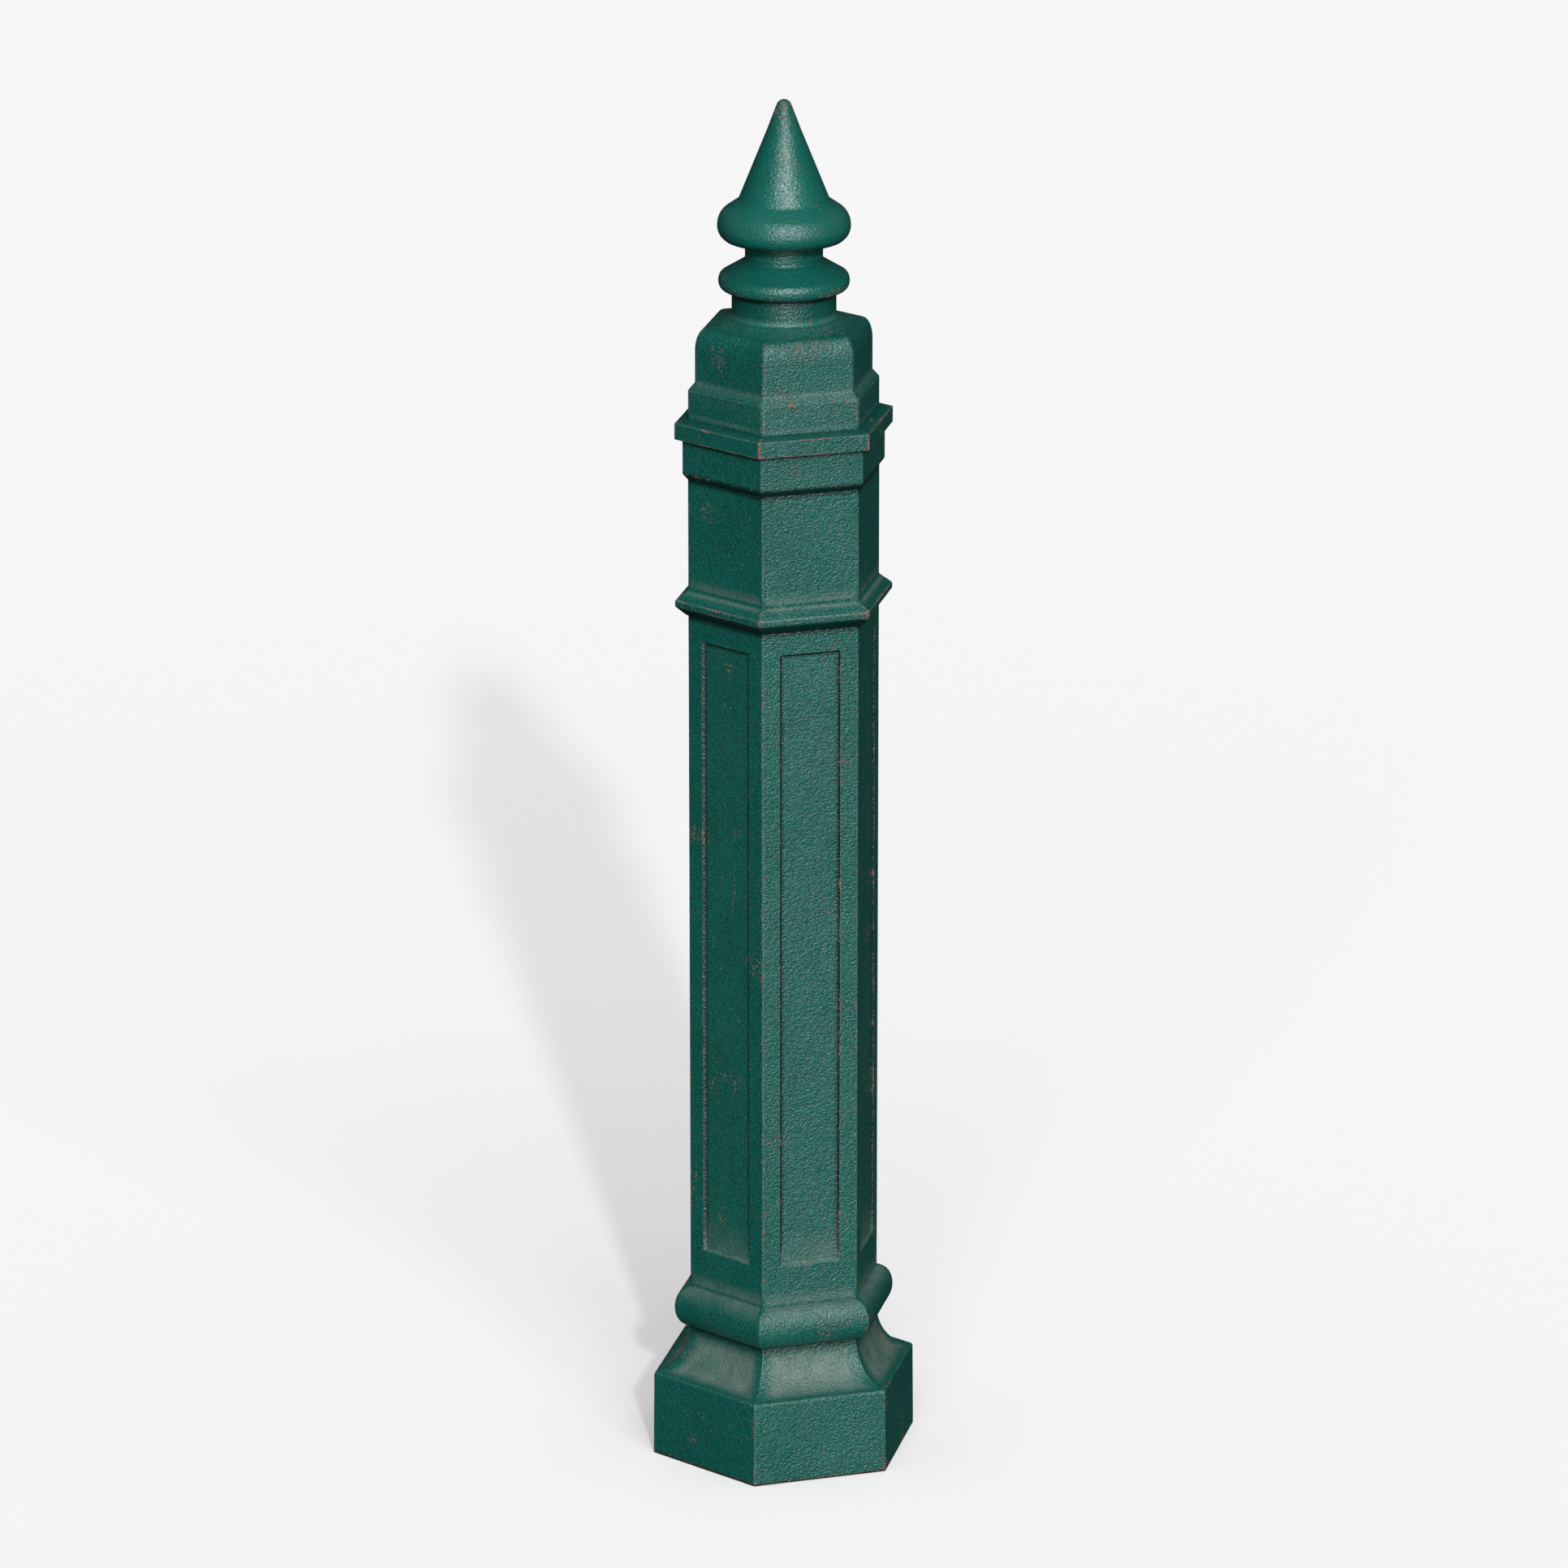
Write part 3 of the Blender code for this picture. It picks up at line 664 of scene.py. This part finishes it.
def finial():
    """Cone on a bulb. Its neck comes down as a skirt round the nylon washer. The tip has lost its paint."""
    cone_r, cone_z = CONE_FOOT
    tip_centre = HEIGHT - TIP_R
    lean = math.degrees(math.atan2(cone_r - TIP_R, tip_centre - cone_z))
    outline = [point(0.0, HEIGHT, bare=1.3)] + arc((0.0, tip_centre), (TIP_R, TIP_R), 78, lean, 6, bare=1.3)
    for share, bare in ((0.25, 0.4), (0.4, 0.0)):
        r, z = TIP_R + share * (cone_r - TIP_R), tip_centre - share * (tip_centre - cone_z)
        outline.append(point(r, z, bare=bare))
    outline += [point(cone_r, cone_z, fillet=0.004, wear=0.0)]
    bulb_r = BULB_R - BULB_CORE_R
    outline += arc((BULB_CORE_R, BULB_HEIGHT), (bulb_r, BULB_RISE), 62, 0, 12, wear=0.5, dust=0.1)
    lower = arc((BULB_CORE_R, BULB_HEIGHT), (bulb_r, BULB_DROP), -6, -40, 6, wear=0.5)
    # Painted shade under the bulb and on the neck below it.
    marked(lower[::-1], PAINTED_SHADE, (0.6, 0.3, 0.1))
    outline += lower
    under_r, under_z = BULB_UNDERSIDE
    outline += [point(under_r, under_z, fillet=0.0015, wear=0.5, bare=0.3, grime=1.0)]
    outline += [point(UPPER_NECK_R, under_z, fillet=0.0008, wear=0.0, grime=1.0)]
    skirt, recess_r = DISC_SEAT + JOINT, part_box("finial_washer")[1].x + GAP
    outline += [point(UPPER_NECK_R, under_z - 0.0030, wear=0.0, grime=0.3)]
    outline += [point(UPPER_NECK_R, skirt, fillet=SEAM, wear=0.0, grime=0.3)]
    outline += inside((recess_r, skirt), (recess_r, FINIAL_FOOT))
    outline += inside((FINIAL_CAVITY[0], FINIAL_FOOT), FINIAL_CAVITY)
    bore_r, bore_top, bore_point = THREAD_BORE
    outline += inside((bore_r, FINIAL_CAVITY[1]), (bore_r, bore_top), (0.0, bore_point))
    columns = round_columns(ROUND_COLUMNS)
    return swept("finial_casting", outline, columns, closed=False, is_round=True, grid=FINE_GRID)


# ---------------------------------------------------------------- steel fittings


def threaded_rod():
    """Tie rod with a right-hand M20 thread cut at each end."""
    low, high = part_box("tie_rod")
    radius, foot, top = high.x, low.z, high.z
    step = THREAD_PITCH / 8
    upper = np.arange(top - ROD_CHAMFER, top - TOP_THREAD, -step)
    lower = np.arange(foot + FOOT_THREAD, foot + ROD_CHAMFER, -step)
    outline = [point(0.0, top), point(radius - ROD_CHAMFER, top, fillet=0.0002)]
    outline += [point(radius, z) for z in (*upper, *lower, foot + ROD_CHAMFER)]
    outline += [point(radius - ROD_CHAMFER, foot, fillet=0.0002), point(0.0, foot)]

    def thread(xyz, along, values):
        x, y, z = xyz[:, :, 0], xyz[:, :, 1], xyz[:, :, 2]
        phase = (z / THREAD_PITCH - np.arctan2(y, x) / (2 * math.pi)) % 1.0
        flank = np.clip(1.3 * np.abs(2 * phase - 1) - 0.15, 0, 1)  # flat crests and roots
        ends = np.maximum(z - (top - TOP_THREAD), foot + FOOT_THREAD - z) / THREAD_PITCH
        limit = radius - THREAD_DEPTH * flank * np.clip(ends, 0, 1)
        here = np.maximum(np.hypot(x, y), 1e-9)
        shrink = np.minimum(1.0, limit / here)
        return np.dstack([x * shrink, y * shrink, z])

    columns = round_columns(48)
    return swept("tie_rod_threaded", outline, columns, closed=False, is_round=True, grid=0.02, shape=thread)


def hexagon_nut(node):
    """Nut whose corners are cut back by a cone at both ends."""
    low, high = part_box(node)
    bore_r, flat_r = THREAD_BORE[0], high.x * COS30
    rim = [(bore_r, high.z), (high.x, high.z), (high.x, low.z), (bore_r, low.z)]

    def chamfered(xyz, along, values):
        reach = np.hypot(xyz[:, :, 0], xyz[:, :, 1])
        cut = np.maximum(0.0, reach - NUT_FACE * flat_r) * TAN30
        middle, half = (high.z + low.z) / 2, (high.z - low.z) / 2
        z = middle + (xyz[:, :, 2] - middle) * (1 - cut / half)
        return np.dstack([xyz[:, :, 0], xyz[:, :, 1], z])

    outline = [point(r, z, fillet=STEEL_FILLET) for r, z in rim]
    return swept(node + "_hexagon", outline, hexagon_columns(high.x, 0.0009), grid=0.0008, shape=chamfered)


def flat_washer(node):
    low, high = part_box(node)
    rim = [(ROD_HOLE_R, high.z), (high.x, high.z), (high.x, low.z), (ROD_HOLE_R, low.z)]
    outline = [point(r, z, fillet=STEEL_FILLET) for r, z in rim]
    return swept(node + "_round", outline, round_columns(72), is_round=True, grid=0.0015)


# ---------------------------------------------------------------- materials


class Nodes:
    """Short names for adding nodes to a material."""

    def __init__(self, name):
        self.material = bpy.data.materials.new(name)
        self.material.use_nodes = True
        self.tree = self.material.node_tree
        self.shader = self.tree.nodes["Principled BSDF"]

    def feed(self, socket, value):
        if isinstance(value, bpy.types.NodeSocket):
            self.tree.links.new(value, socket)
        else:
            socket.default_value = value

    def attribute(self, name):
        node = self.tree.nodes.new("ShaderNodeAttribute")
        node.attribute_name = name
        return node.outputs["Fac"]

    def place(self):
        return self.tree.nodes.new("ShaderNodeTexCoord").outputs["Object"]

    def mapped(self, vector, scale=(1, 1, 1), turn=(0, 0, 0), shift=(0, 0, 0)):
        node = self.tree.nodes.new("ShaderNodeMapping")
        self.feed(node.inputs["Vector"], vector)
        node.inputs["Rotation"].default_value = [math.radians(a) for a in turn]
        node.inputs["Scale"].default_value = scale
        node.inputs["Location"].default_value = shift
        return node.outputs["Vector"]

    def noise(self, vector, scale, detail=2.0, roughness=0.5, distortion=0.0):
        node = self.tree.nodes.new("ShaderNodeTexNoise")
        self.feed(node.inputs["Vector"], vector)
        node.inputs["Scale"].default_value = scale
        node.inputs["Detail"].default_value = detail
        node.inputs["Roughness"].default_value = roughness
        node.inputs["Distortion"].default_value = distortion
        return node.outputs["Fac"]

    def cells(self, vector, scale):
        node = self.tree.nodes.new("ShaderNodeTexVoronoi")
        self.feed(node.inputs["Vector"], vector)
        node.inputs["Scale"].default_value = scale
        return node.outputs["Color"]

    def maths(self, operation, a, b=0.0, c=0.0, clamp=False):
        node = self.tree.nodes.new("ShaderNodeMath")
        node.operation = operation
        node.use_clamp = clamp
        for socket, value in zip(node.inputs, (a, b, c)):
            self.feed(socket, value)
        return node.outputs[0]

    def ramp(self, value, low, high, to_low=0.0, to_high=1.0):
        """Smooth step from to_low at low to to_high at high."""
        node = self.tree.nodes.new("ShaderNodeMapRange")
        node.interpolation_type = "SMOOTHSTEP"
        keys = ("Value", "From Min", "From Max", "To Min", "To Max")
        for key, number in zip(keys, (value, low, high, to_low, to_high)):
            self.feed(node.inputs[key], number)
        return node.outputs["Result"]

    def mix(self, factor, a, b):
        node = self.tree.nodes.new("ShaderNodeMix")
        node.data_type = "RGBA"
        self.feed(node.inputs["Factor"], factor)
        for socket, colour in zip([s for s in node.inputs if s.type == "RGBA"], (a, b)):
            self.feed(socket, colour if isinstance(colour, bpy.types.NodeSocket) else (*colour, 1.0))
        return next(s for s in node.outputs if s.type == "RGBA")

    def bump(self, height):
        """Relief from a height in millimetres."""
        node = self.tree.nodes.new("ShaderNodeBump")
        self.feed(node.inputs["Height"], height)
        node.inputs["Distance"].default_value = MM
        node.inputs["Strength"].default_value = 1.0
        self.feed(self.shader.inputs["Normal"], node.outputs["Normal"])


# Colours of the painted castings
GREENS = ((0.0036, 0.128, 0.101), (0.0055, 0.149, 0.118))
# Light green along worn convex edges: rubbed paint and a painted glint.
POLISHED_GLINT_GREEN = (0.13, 0.26, 0.21)
# Painted shade in the pits of the hammered relief.
PIT_SHADE_GREEN = (0.0006, 0.040, 0.030)
# Painted shade: the dark green laid where shade falls under overhangs, in creases and inside the panels'
# borders.
PAINTED_SHADE_GREEN = (0.0006, 0.020, 0.015)
CHIP_RIM_GREEN = (0.0020, 0.040, 0.032)
SETTLED_DUST = (0.235, 0.270, 0.238)
RUSTS = ((0.085, 0.036, 0.030), (0.34, 0.185, 0.160))
PRIMERS = ((0.060, 0.020, 0.014), (0.10, 0.040, 0.028))
FOOT_RUST = (0.035, 0.014, 0.010)
# How far the painted shade darkens the paint at full strength.
PAINTED_SHADE_SHARE = 0.92
# How strongly the pits of the relief get painted shade, less on turned parts.
PIT_SHADE_TONE = 0.62
TURNED_PIT_SHADE_TONE = 0.3 * PIT_SHADE_TONE


def painted_iron():
    """Bottle-green gloss paint on rough cast iron, chipped along its edges and dusty on its slopes, with
    painted shade under overhangs, in creases and in the relief's pits, and painted glints along the edges.
    """
    n = Nodes("painted_cast_iron")
    place = n.place()
    edge, crease = n.attribute("edge"), n.attribute("crease")
    dust, wear, inner = n.attribute("dust"), n.attribute("wear"), n.attribute("inner")

    # Relief of the casting under its paint
    streaked = n.mapped(place, scale=(0.80, 0.80, 1.10), turn=(0, 38, 0))
    hammered = n.noise(streaked, 560, detail=3.0, roughness=0.55, distortion=0.25)
    pitted = n.noise(place, 1150, detail=1.5)
    rolling = n.noise(place, 60, detail=2.0)
    strength = n.ramp(n.noise(place, 22, detail=2.0), 0.3, 0.7, 0.75, 1.15)
    strength = n.maths("MULTIPLY", strength, n.ramp(n.attribute("turned"), 0.0, 1.0, 1.0, 0.75))

    # Chips, which crowd along the edges and lie in clusters elsewhere
    specks = n.noise(place, 470, detail=3.0, roughness=0.6)
    runs = n.ramp(n.noise(place, 55, detail=2.0), 0.32, 0.66)
    clusters = n.ramp(n.noise(n.mapped(place, shift=(3.1, 1.7, 0.4)), 30, detail=3.0), 0.56, 0.70)
    near = n.ramp(edge, 0.1, 1.7, 1.0, 0.0)
    crowded = n.maths("MULTIPLY_ADD", runs, 0.130, 0.030)
    at_edge = n.maths("MULTIPLY", n.maths("MULTIPLY", near, wear), crowded)
    level = n.maths("ADD", specks, at_edge)
    level = n.maths("MULTIPLY_ADD", clusters, 0.112, level)
    level = n.maths("MULTIPLY_ADD", n.attribute("bare"), 0.110, level)
    drawn = n.noise(n.mapped(place, scale=(1.0, 1.0, 0.05), turn=(0, 33, 0)), 420, detail=1.0)
    scratched = n.ramp(n.noise(place, 17, detail=1.0), 0.54, 0.64)
    scratch = n.maths("MULTIPLY", n.ramp(drawn, 0.70, 0.76), scratched)
    level = n.maths("MULTIPLY_ADD", scratch, 0.16, level)
    chips = n.ramp(level, 0.690, 0.712)
    chips = n.maths("MULTIPLY", chips, n.maths("SUBTRACT", 1.0, inner))
    rims = n.maths("SUBTRACT", n.ramp(level, 0.662, 0.690), chips, clamp=True)
    # Lighter paint along worn convex edges: partly rubbed paint, partly a painted glint.
    rubbed_glint = n.maths("MULTIPLY_ADD", pitted, 0.9, 0.1)
    polished_glint = n.maths("MULTIPLY", n.ramp(edge, 0.0, 0.9, 1.0, 0.0), rubbed_glint)
    polished_glint = n.maths("MULTIPLY", polished_glint, wear, clamp=True)

    # Dust, thick in the creases and on the hollow slopes and held off the arrises
    fibre = n.noise(n.mapped(place, scale=(1.0, 1.0, 0.35), turn=(0, 25, 0)), 800, detail=3.0)
    broad = n.maths("MULTIPLY", dust, n.ramp(edge, 0.6, 3.2))
    tucked = n.maths("MULTIPLY", dust, n.ramp(crease, 0.4, 4.5, 1.0, 0.0))
    settled = n.maths("MAXIMUM", broad, tucked)
    settled = n.maths("MULTIPLY", settled, n.ramp(n.noise(place, 70, detail=4.0), 0.25, 0.75, 0.45, 1.0))
    settled = n.maths("MULTIPLY", settled, n.ramp(fibre, 0.2, 0.8, 0.35, 0.70), clamp=True)

    # Colour, from the paint up
    green = n.mix(n.ramp(n.noise(place, 16, detail=3.0), 0.3, 0.7), *GREENS)
    # Rubbed paint and painted glint along the edges.
    green = n.mix(n.maths("MULTIPLY", polished_glint, 0.60), green, POLISHED_GLINT_GREEN)
    # Painted shade in the pits of the hammered relief, weaker on turned parts.
    tone = n.ramp(n.attribute("turned"), 0.0, 1.0, PIT_SHADE_TONE, TURNED_PIT_SHADE_TONE)
    pit_shade = n.ramp(n.maths("MULTIPLY_ADD", pitted, 0.4, hammered), 0.52, 0.88, 1.0, 0.0)
    green = n.mix(n.maths("MULTIPLY", pit_shade, tone), green, PIT_SHADE_GREEN)
    # Painted shade, darkening the paint under overhangs, in creases and along the panels' borders.
    grime = n.attribute("grime")
    green = n.mix(n.maths("MULTIPLY", grime, PAINTED_SHADE_SHARE), green, PAINTED_SHADE_GREEN)
    green = n.mix(settled, green, SETTLED_DUST)
    rust = n.mix(n.ramp(n.noise(place, 1500, detail=2.0), 0.35, 0.65), *RUSTS)
    colour = n.mix(n.maths("MULTIPLY", rims, 0.5), green, CHIP_RIM_GREEN)
    colour = n.mix(chips, colour, rust)

    # Rust along the foot, and primer inside
    apart = n.tree.nodes.new("ShaderNodeSeparateXYZ")
    n.feed(apart.inputs[0], place)
    height = n.maths("MULTIPLY_ADD", specks, 0.0016, apart.outputs["Z"])
    colour = n.mix(n.ramp(height, 0.0018, 0.0034, 1.0, 0.0), colour, FOOT_RUST)
    primer = n.mix(n.noise(place, 90, detail=4.0), *PRIMERS)
    n.feed(n.shader.inputs["Base Color"], n.mix(inner, colour, primer))

    gloss = n.ramp(n.noise(place, 120, detail=3.0), 0.3, 0.7, 0.27, 0.36)
    gloss = n.maths("MULTIPLY_ADD", n.attribute("turned"), -0.04, gloss)
    rough = n.maths("MULTIPLY_ADD", settled, 0.30, gloss)
    rough = n.maths("MAXIMUM", rough, n.maths("MULTIPLY", chips, 0.80))
    rough = n.maths("MAXIMUM", rough, n.maths("MULTIPLY", inner, 0.70))
    n.feed(n.shader.inputs["Roughness"], rough)
    n.shader.inputs["Specular IOR Level"].default_value = 0.86

    relief = n.maths("MULTIPLY", n.maths("MULTIPLY", hammered, strength), 1.18)
    relief = n.maths("MULTIPLY_ADD", pitted, 0.07, relief)
    relief = n.maths("MULTIPLY_ADD", rolling, 0.35, relief)
    relief = n.maths("MULTIPLY_ADD", chips, -0.10, relief)
    n.bump(relief)
    return n.material


def zinc_steel():
    """Bright zinc plate, a little clouded."""
    n = Nodes("zinc_plated_steel")
    place = n.place()
    cloud = n.ramp(n.noise(place, 220, detail=3.0), 0.3, 0.7)
    n.feed(n.shader.inputs["Base Color"], n.mix(cloud, (0.50, 0.51, 0.52), (0.62, 0.62, 0.60)))
    n.shader.inputs["Metallic"].default_value = 1.0
    n.feed(n.shader.inputs["Roughness"], n.ramp(n.noise(place, 700, detail=2.0), 0.3, 0.7, 0.30, 0.44))
    n.bump(n.maths("MULTIPLY", n.noise(place, 1500, detail=2.0), 0.02))
    return n.material


def galvanised_plate():
    """Hot-dip galvanised steel with its spangle."""
    n = Nodes("galvanised_plate")
    place = n.place()
    spangle = n.cells(place, 130)
    tone = n.tree.nodes.new("ShaderNodeSeparateColor")
    n.feed(tone.inputs[0], spangle)
    n.feed(n.shader.inputs["Base Color"], n.mix(tone.outputs[0], (0.36, 0.38, 0.40), (0.55, 0.56, 0.57)))
    n.shader.inputs["Metallic"].default_value = 1.0
    n.feed(n.shader.inputs["Roughness"], n.ramp(tone.outputs[1], 0.0, 1.0, 0.42, 0.60))
    n.bump(n.maths("MULTIPLY", n.noise(place, 400, detail=3.0), 0.05))
    return n.material


def seal_rubber():
    n = Nodes("black_seal_rubber")
    place = n.place()
    black = n.mix(n.noise(place, 300, detail=3.0), (0.014, 0.014, 0.015), (0.030, 0.030, 0.031))
    n.feed(n.shader.inputs["Base Color"], black)
    n.feed(n.shader.inputs["Roughness"], n.ramp(n.noise(place, 900), 0.3, 0.7, 0.68, 0.82))
    n.bump(n.maths("MULTIPLY", n.noise(place, 1800, detail=2.0), 0.03))
    return n.material


def grey_nylon():
    n = Nodes("grey_nylon")
    place = n.place()
    grey = n.mix(n.noise(place, 150, detail=2.0), (0.26, 0.27, 0.26), (0.34, 0.34, 0.33))
    n.feed(n.shader.inputs["Base Color"], grey)
    n.feed(n.shader.inputs["Roughness"], n.ramp(n.noise(place, 800), 0.3, 0.7, 0.42, 0.55))
    n.bump(n.maths("MULTIPLY", n.noise(place, 1300, detail=2.0), 0.02))
    return n.material


# ---------------------------------------------------------------- stage


def aim(obj, azimuth, elevation, distance, target):
    """Puts a lamp or camera on a bearing from the target, looking at it. Azimuth 0 is in front, on -Y."""
    a, e = math.radians(azimuth), math.radians(elevation)
    away = Vector((math.sin(a) * math.cos(e), -math.cos(a) * math.cos(e), math.sin(e)))
    obj.location = Vector(target) + distance * away
    obj.rotation_euler = away.to_track_quat("Z", "Y").to_euler()


CAMERA_AZIMUTH, CAMERA_ELEVATION, CAMERA_DISTANCE, LENS = -17.59, 17.32, 87.55 * SHAFT_R, 200.0
KEY_AZIMUTH, KEY_ELEVATION, KEY_ENERGY = -9.3, 26.0, 3.14
SHARP_SHARE = 0.37  # of the key's energy
SHARP_ANGLE, SOFTBOX_ANGLE = 2.2, 55.0
BACK_AZIMUTH, BACK_ELEVATION, BACK_ENERGY, BACK_ANGLE = 168.0, 30.0, 0.45, 20.0
HORIZON = (-0.10, 0.15)  # heights of the view direction between which the ambient light comes up
FLOOR_ALBEDO = 0.92
FLOOR_SIZE = 60.0
FLOOR_DROP = 0.0002
BACKDROP = (0.930, 0.925, 0.933)
AMBIENT = 0.34
GLOSSY_AMBIENT = 0.018


def add_camera():
    data = bpy.data.cameras.new("camera")
    data.lens = LENS
    data.sensor_width = 36.0
    data.clip_end = 200.0
    camera = bpy.data.objects.new("camera", data)
    bpy.context.scene.collection.objects.link(camera)
    aim(camera, CAMERA_AZIMUTH, CAMERA_ELEVATION, CAMERA_DISTANCE, (0, 0, HEIGHT / 2))
    bpy.context.scene.camera = camera


def add_lamp(name, energy, azimuth, elevation, angle, lights=None):
    """A lamp with parallel rays. angle is how wide it looks, in degrees. lights is the collection that it
    shines on, if not everything."""
    data = bpy.data.lights.new(name, "SUN")
    data.energy = energy
    data.angle = math.radians(angle)
    lamp = bpy.data.objects.new(name, data)
    bpy.context.scene.collection.objects.link(lamp)
    aim(lamp, azimuth, elevation, 6.0, (0, 0, HEIGHT / 2))
    if lights is not None:
        lamp.light_linking.receiver_collection = lights
        lamp.visible_glossy = False


def group(name, objects):
    collection = bpy.data.collections.new(name)
    for obj in objects:
        collection.objects.link(obj)
    return collection


def add_lights(pieces):
    """A key in two widths does nearly all the work. The other lamp keeps the back from going black."""
    add_lamp("key", SHARP_SHARE * KEY_ENERGY, KEY_AZIMUTH, KEY_ELEVATION, SHARP_ANGLE)
    add_lamp("key_softbox", (1 - SHARP_SHARE) * KEY_ENERGY, KEY_AZIMUTH, KEY_ELEVATION, SOFTBOX_ANGLE)
    lights = group("pieces_only", pieces)
    add_lamp("back_fill", BACK_ENERGY, BACK_AZIMUTH, BACK_ELEVATION, BACK_ANGLE, lights)


def add_world():
    """White to the camera. To everything else, dim light from above the horizon and none from below it."""
    world = bpy.data.worlds.new("studio")
    world.use_nodes = True
    nodes, links = world.node_tree.nodes, world.node_tree.links
    direction = nodes.new("ShaderNodeTexCoord")
    apart = nodes.new("ShaderNodeSeparateXYZ")
    links.new(direction.outputs["Generated"], apart.inputs[0])
    horizon = nodes.new("ShaderNodeMapRange")
    horizon.interpolation_type = "SMOOTHSTEP"
    horizon.inputs["From Min"].default_value, horizon.inputs["From Max"].default_value = HORIZON
    links.new(apart.outputs["Z"], horizon.inputs["Value"])
    path = nodes.new("ShaderNodeLightPath")
    steps = (
        (horizon.outputs["Result"], 3 * [AMBIENT]),
        (path.outputs["Is Glossy Ray"], 3 * [GLOSSY_AMBIENT]),
        (path.outputs["Is Camera Ray"], BACKDROP),
    )
    colour = None
    for share, seen in steps:
        mix = nodes.new("ShaderNodeMix")
        mix.data_type = "RGBA"
        before, after = [s for s in mix.inputs if s.type == "RGBA"]
        links.new(share, mix.inputs["Factor"])
        if colour is None:
            before.default_value = (0.0, 0.0, 0.0, 1.0)
        else:
            links.new(colour, before)
        after.default_value = (*seen, 1.0)
        colour = next(s for s in mix.outputs if s.type == "RGBA")
    links.new(colour, nodes["Background"].inputs["Color"])
    world.cycles.sampling_method = "NONE"
    bpy.context.scene.world = world


def add_floor():
    """A pale floor that the camera sees and the lamps shade, and that throws no light back up."""
    mesh = bpy.data.meshes.new("floor")
    corners = [(-FLOOR_SIZE, -FLOOR_SIZE, 0), (FLOOR_SIZE, -FLOOR_SIZE, 0)]
    corners += [(FLOOR_SIZE, FLOOR_SIZE, 0), (-FLOOR_SIZE, FLOOR_SIZE, 0)]
    mesh.from_pydata(corners, [], [(0, 1, 2, 3)])
    floor = bpy.data.objects.new("floor", mesh)
    floor.location.z = -FLOOR_DROP
    bpy.context.scene.collection.objects.link(floor)
    material = bpy.data.materials.new("pale_floor")
    material.cycles.emission_sampling = "NONE"
    material.use_nodes = True
    shader = material.node_tree.nodes["Principled BSDF"]
    lit = FLOOR_ALBEDO * (KEY_ENERGY * math.sin(math.radians(KEY_ELEVATION)) / math.pi + AMBIENT)
    shader.inputs["Emission Color"].default_value = (*[c - lit for c in BACKDROP], 1.0)
    shader.inputs["Base Color"].default_value = (*3 * [FLOOR_ALBEDO], 1.0)
    shader.inputs["Roughness"].default_value = 1.0
    shader.inputs["Specular IOR Level"].default_value = 0.0
    shader.inputs["Emission Strength"].default_value = 1.0
    mesh.materials.append(material)
    floor.visible_diffuse = False
    floor.visible_glossy = False


# ---------------------------------------------------------------- putting it together


def put(piece, node, body, material):
    piece.data.materials.clear()
    piece.data.materials.append(material)
    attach(piece, body)
    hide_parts(node)


paint = painted_iron()
zinc = zinc_steel()
CASTINGS = {
    "base_plinth": base_plinth,
    "torus_collar": torus_collar,
    "panelled_shaft": panelled_shaft,
    "arris_moulding": arris_moulding,
    "upper_shaft": upper_shaft,
    "capital_band": capital_band,
    "head_block": head_block,
    "neck_disc": neck_disc,
    "finial": finial,
}
castings = []
for seed, (node, make) in enumerate(CASTINGS.items()):
    piece = uneven(make(), CAST_DEPTH, CAST_WAVES, seed)
    castings.append(piece)
    put(piece, node, "finial" if node == "finial" else "root", paint)

fittings = [threaded_rod(), hexagon_nut("rod_lock_nut"), hexagon_nut("tie_nut"), flat_washer("tie_washer")]
for piece, node in zip(fittings, ("tie_rod", "rod_lock_nut", "tie_nut", "tie_washer")):
    put(piece, node, "root", zinc)

rubber = seal_rubber()
LOOKS = {"anchor_plate": galvanised_plate(), "spring_washer": zinc, "finial_washer": grey_nylon()}
LOOKS.update({node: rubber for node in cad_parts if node.endswith("_seal")})
for node, look in LOOKS.items():
    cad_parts[node].data.materials.clear()
    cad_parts[node].data.materials.append(look)

bpy.context.scene.view_settings.view_transform = "Standard"
add_camera()
add_world()
add_floor()
add_lights(castings + fittings + [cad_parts[node] for node in LOOKS])

bpy.context.view_layer.update()
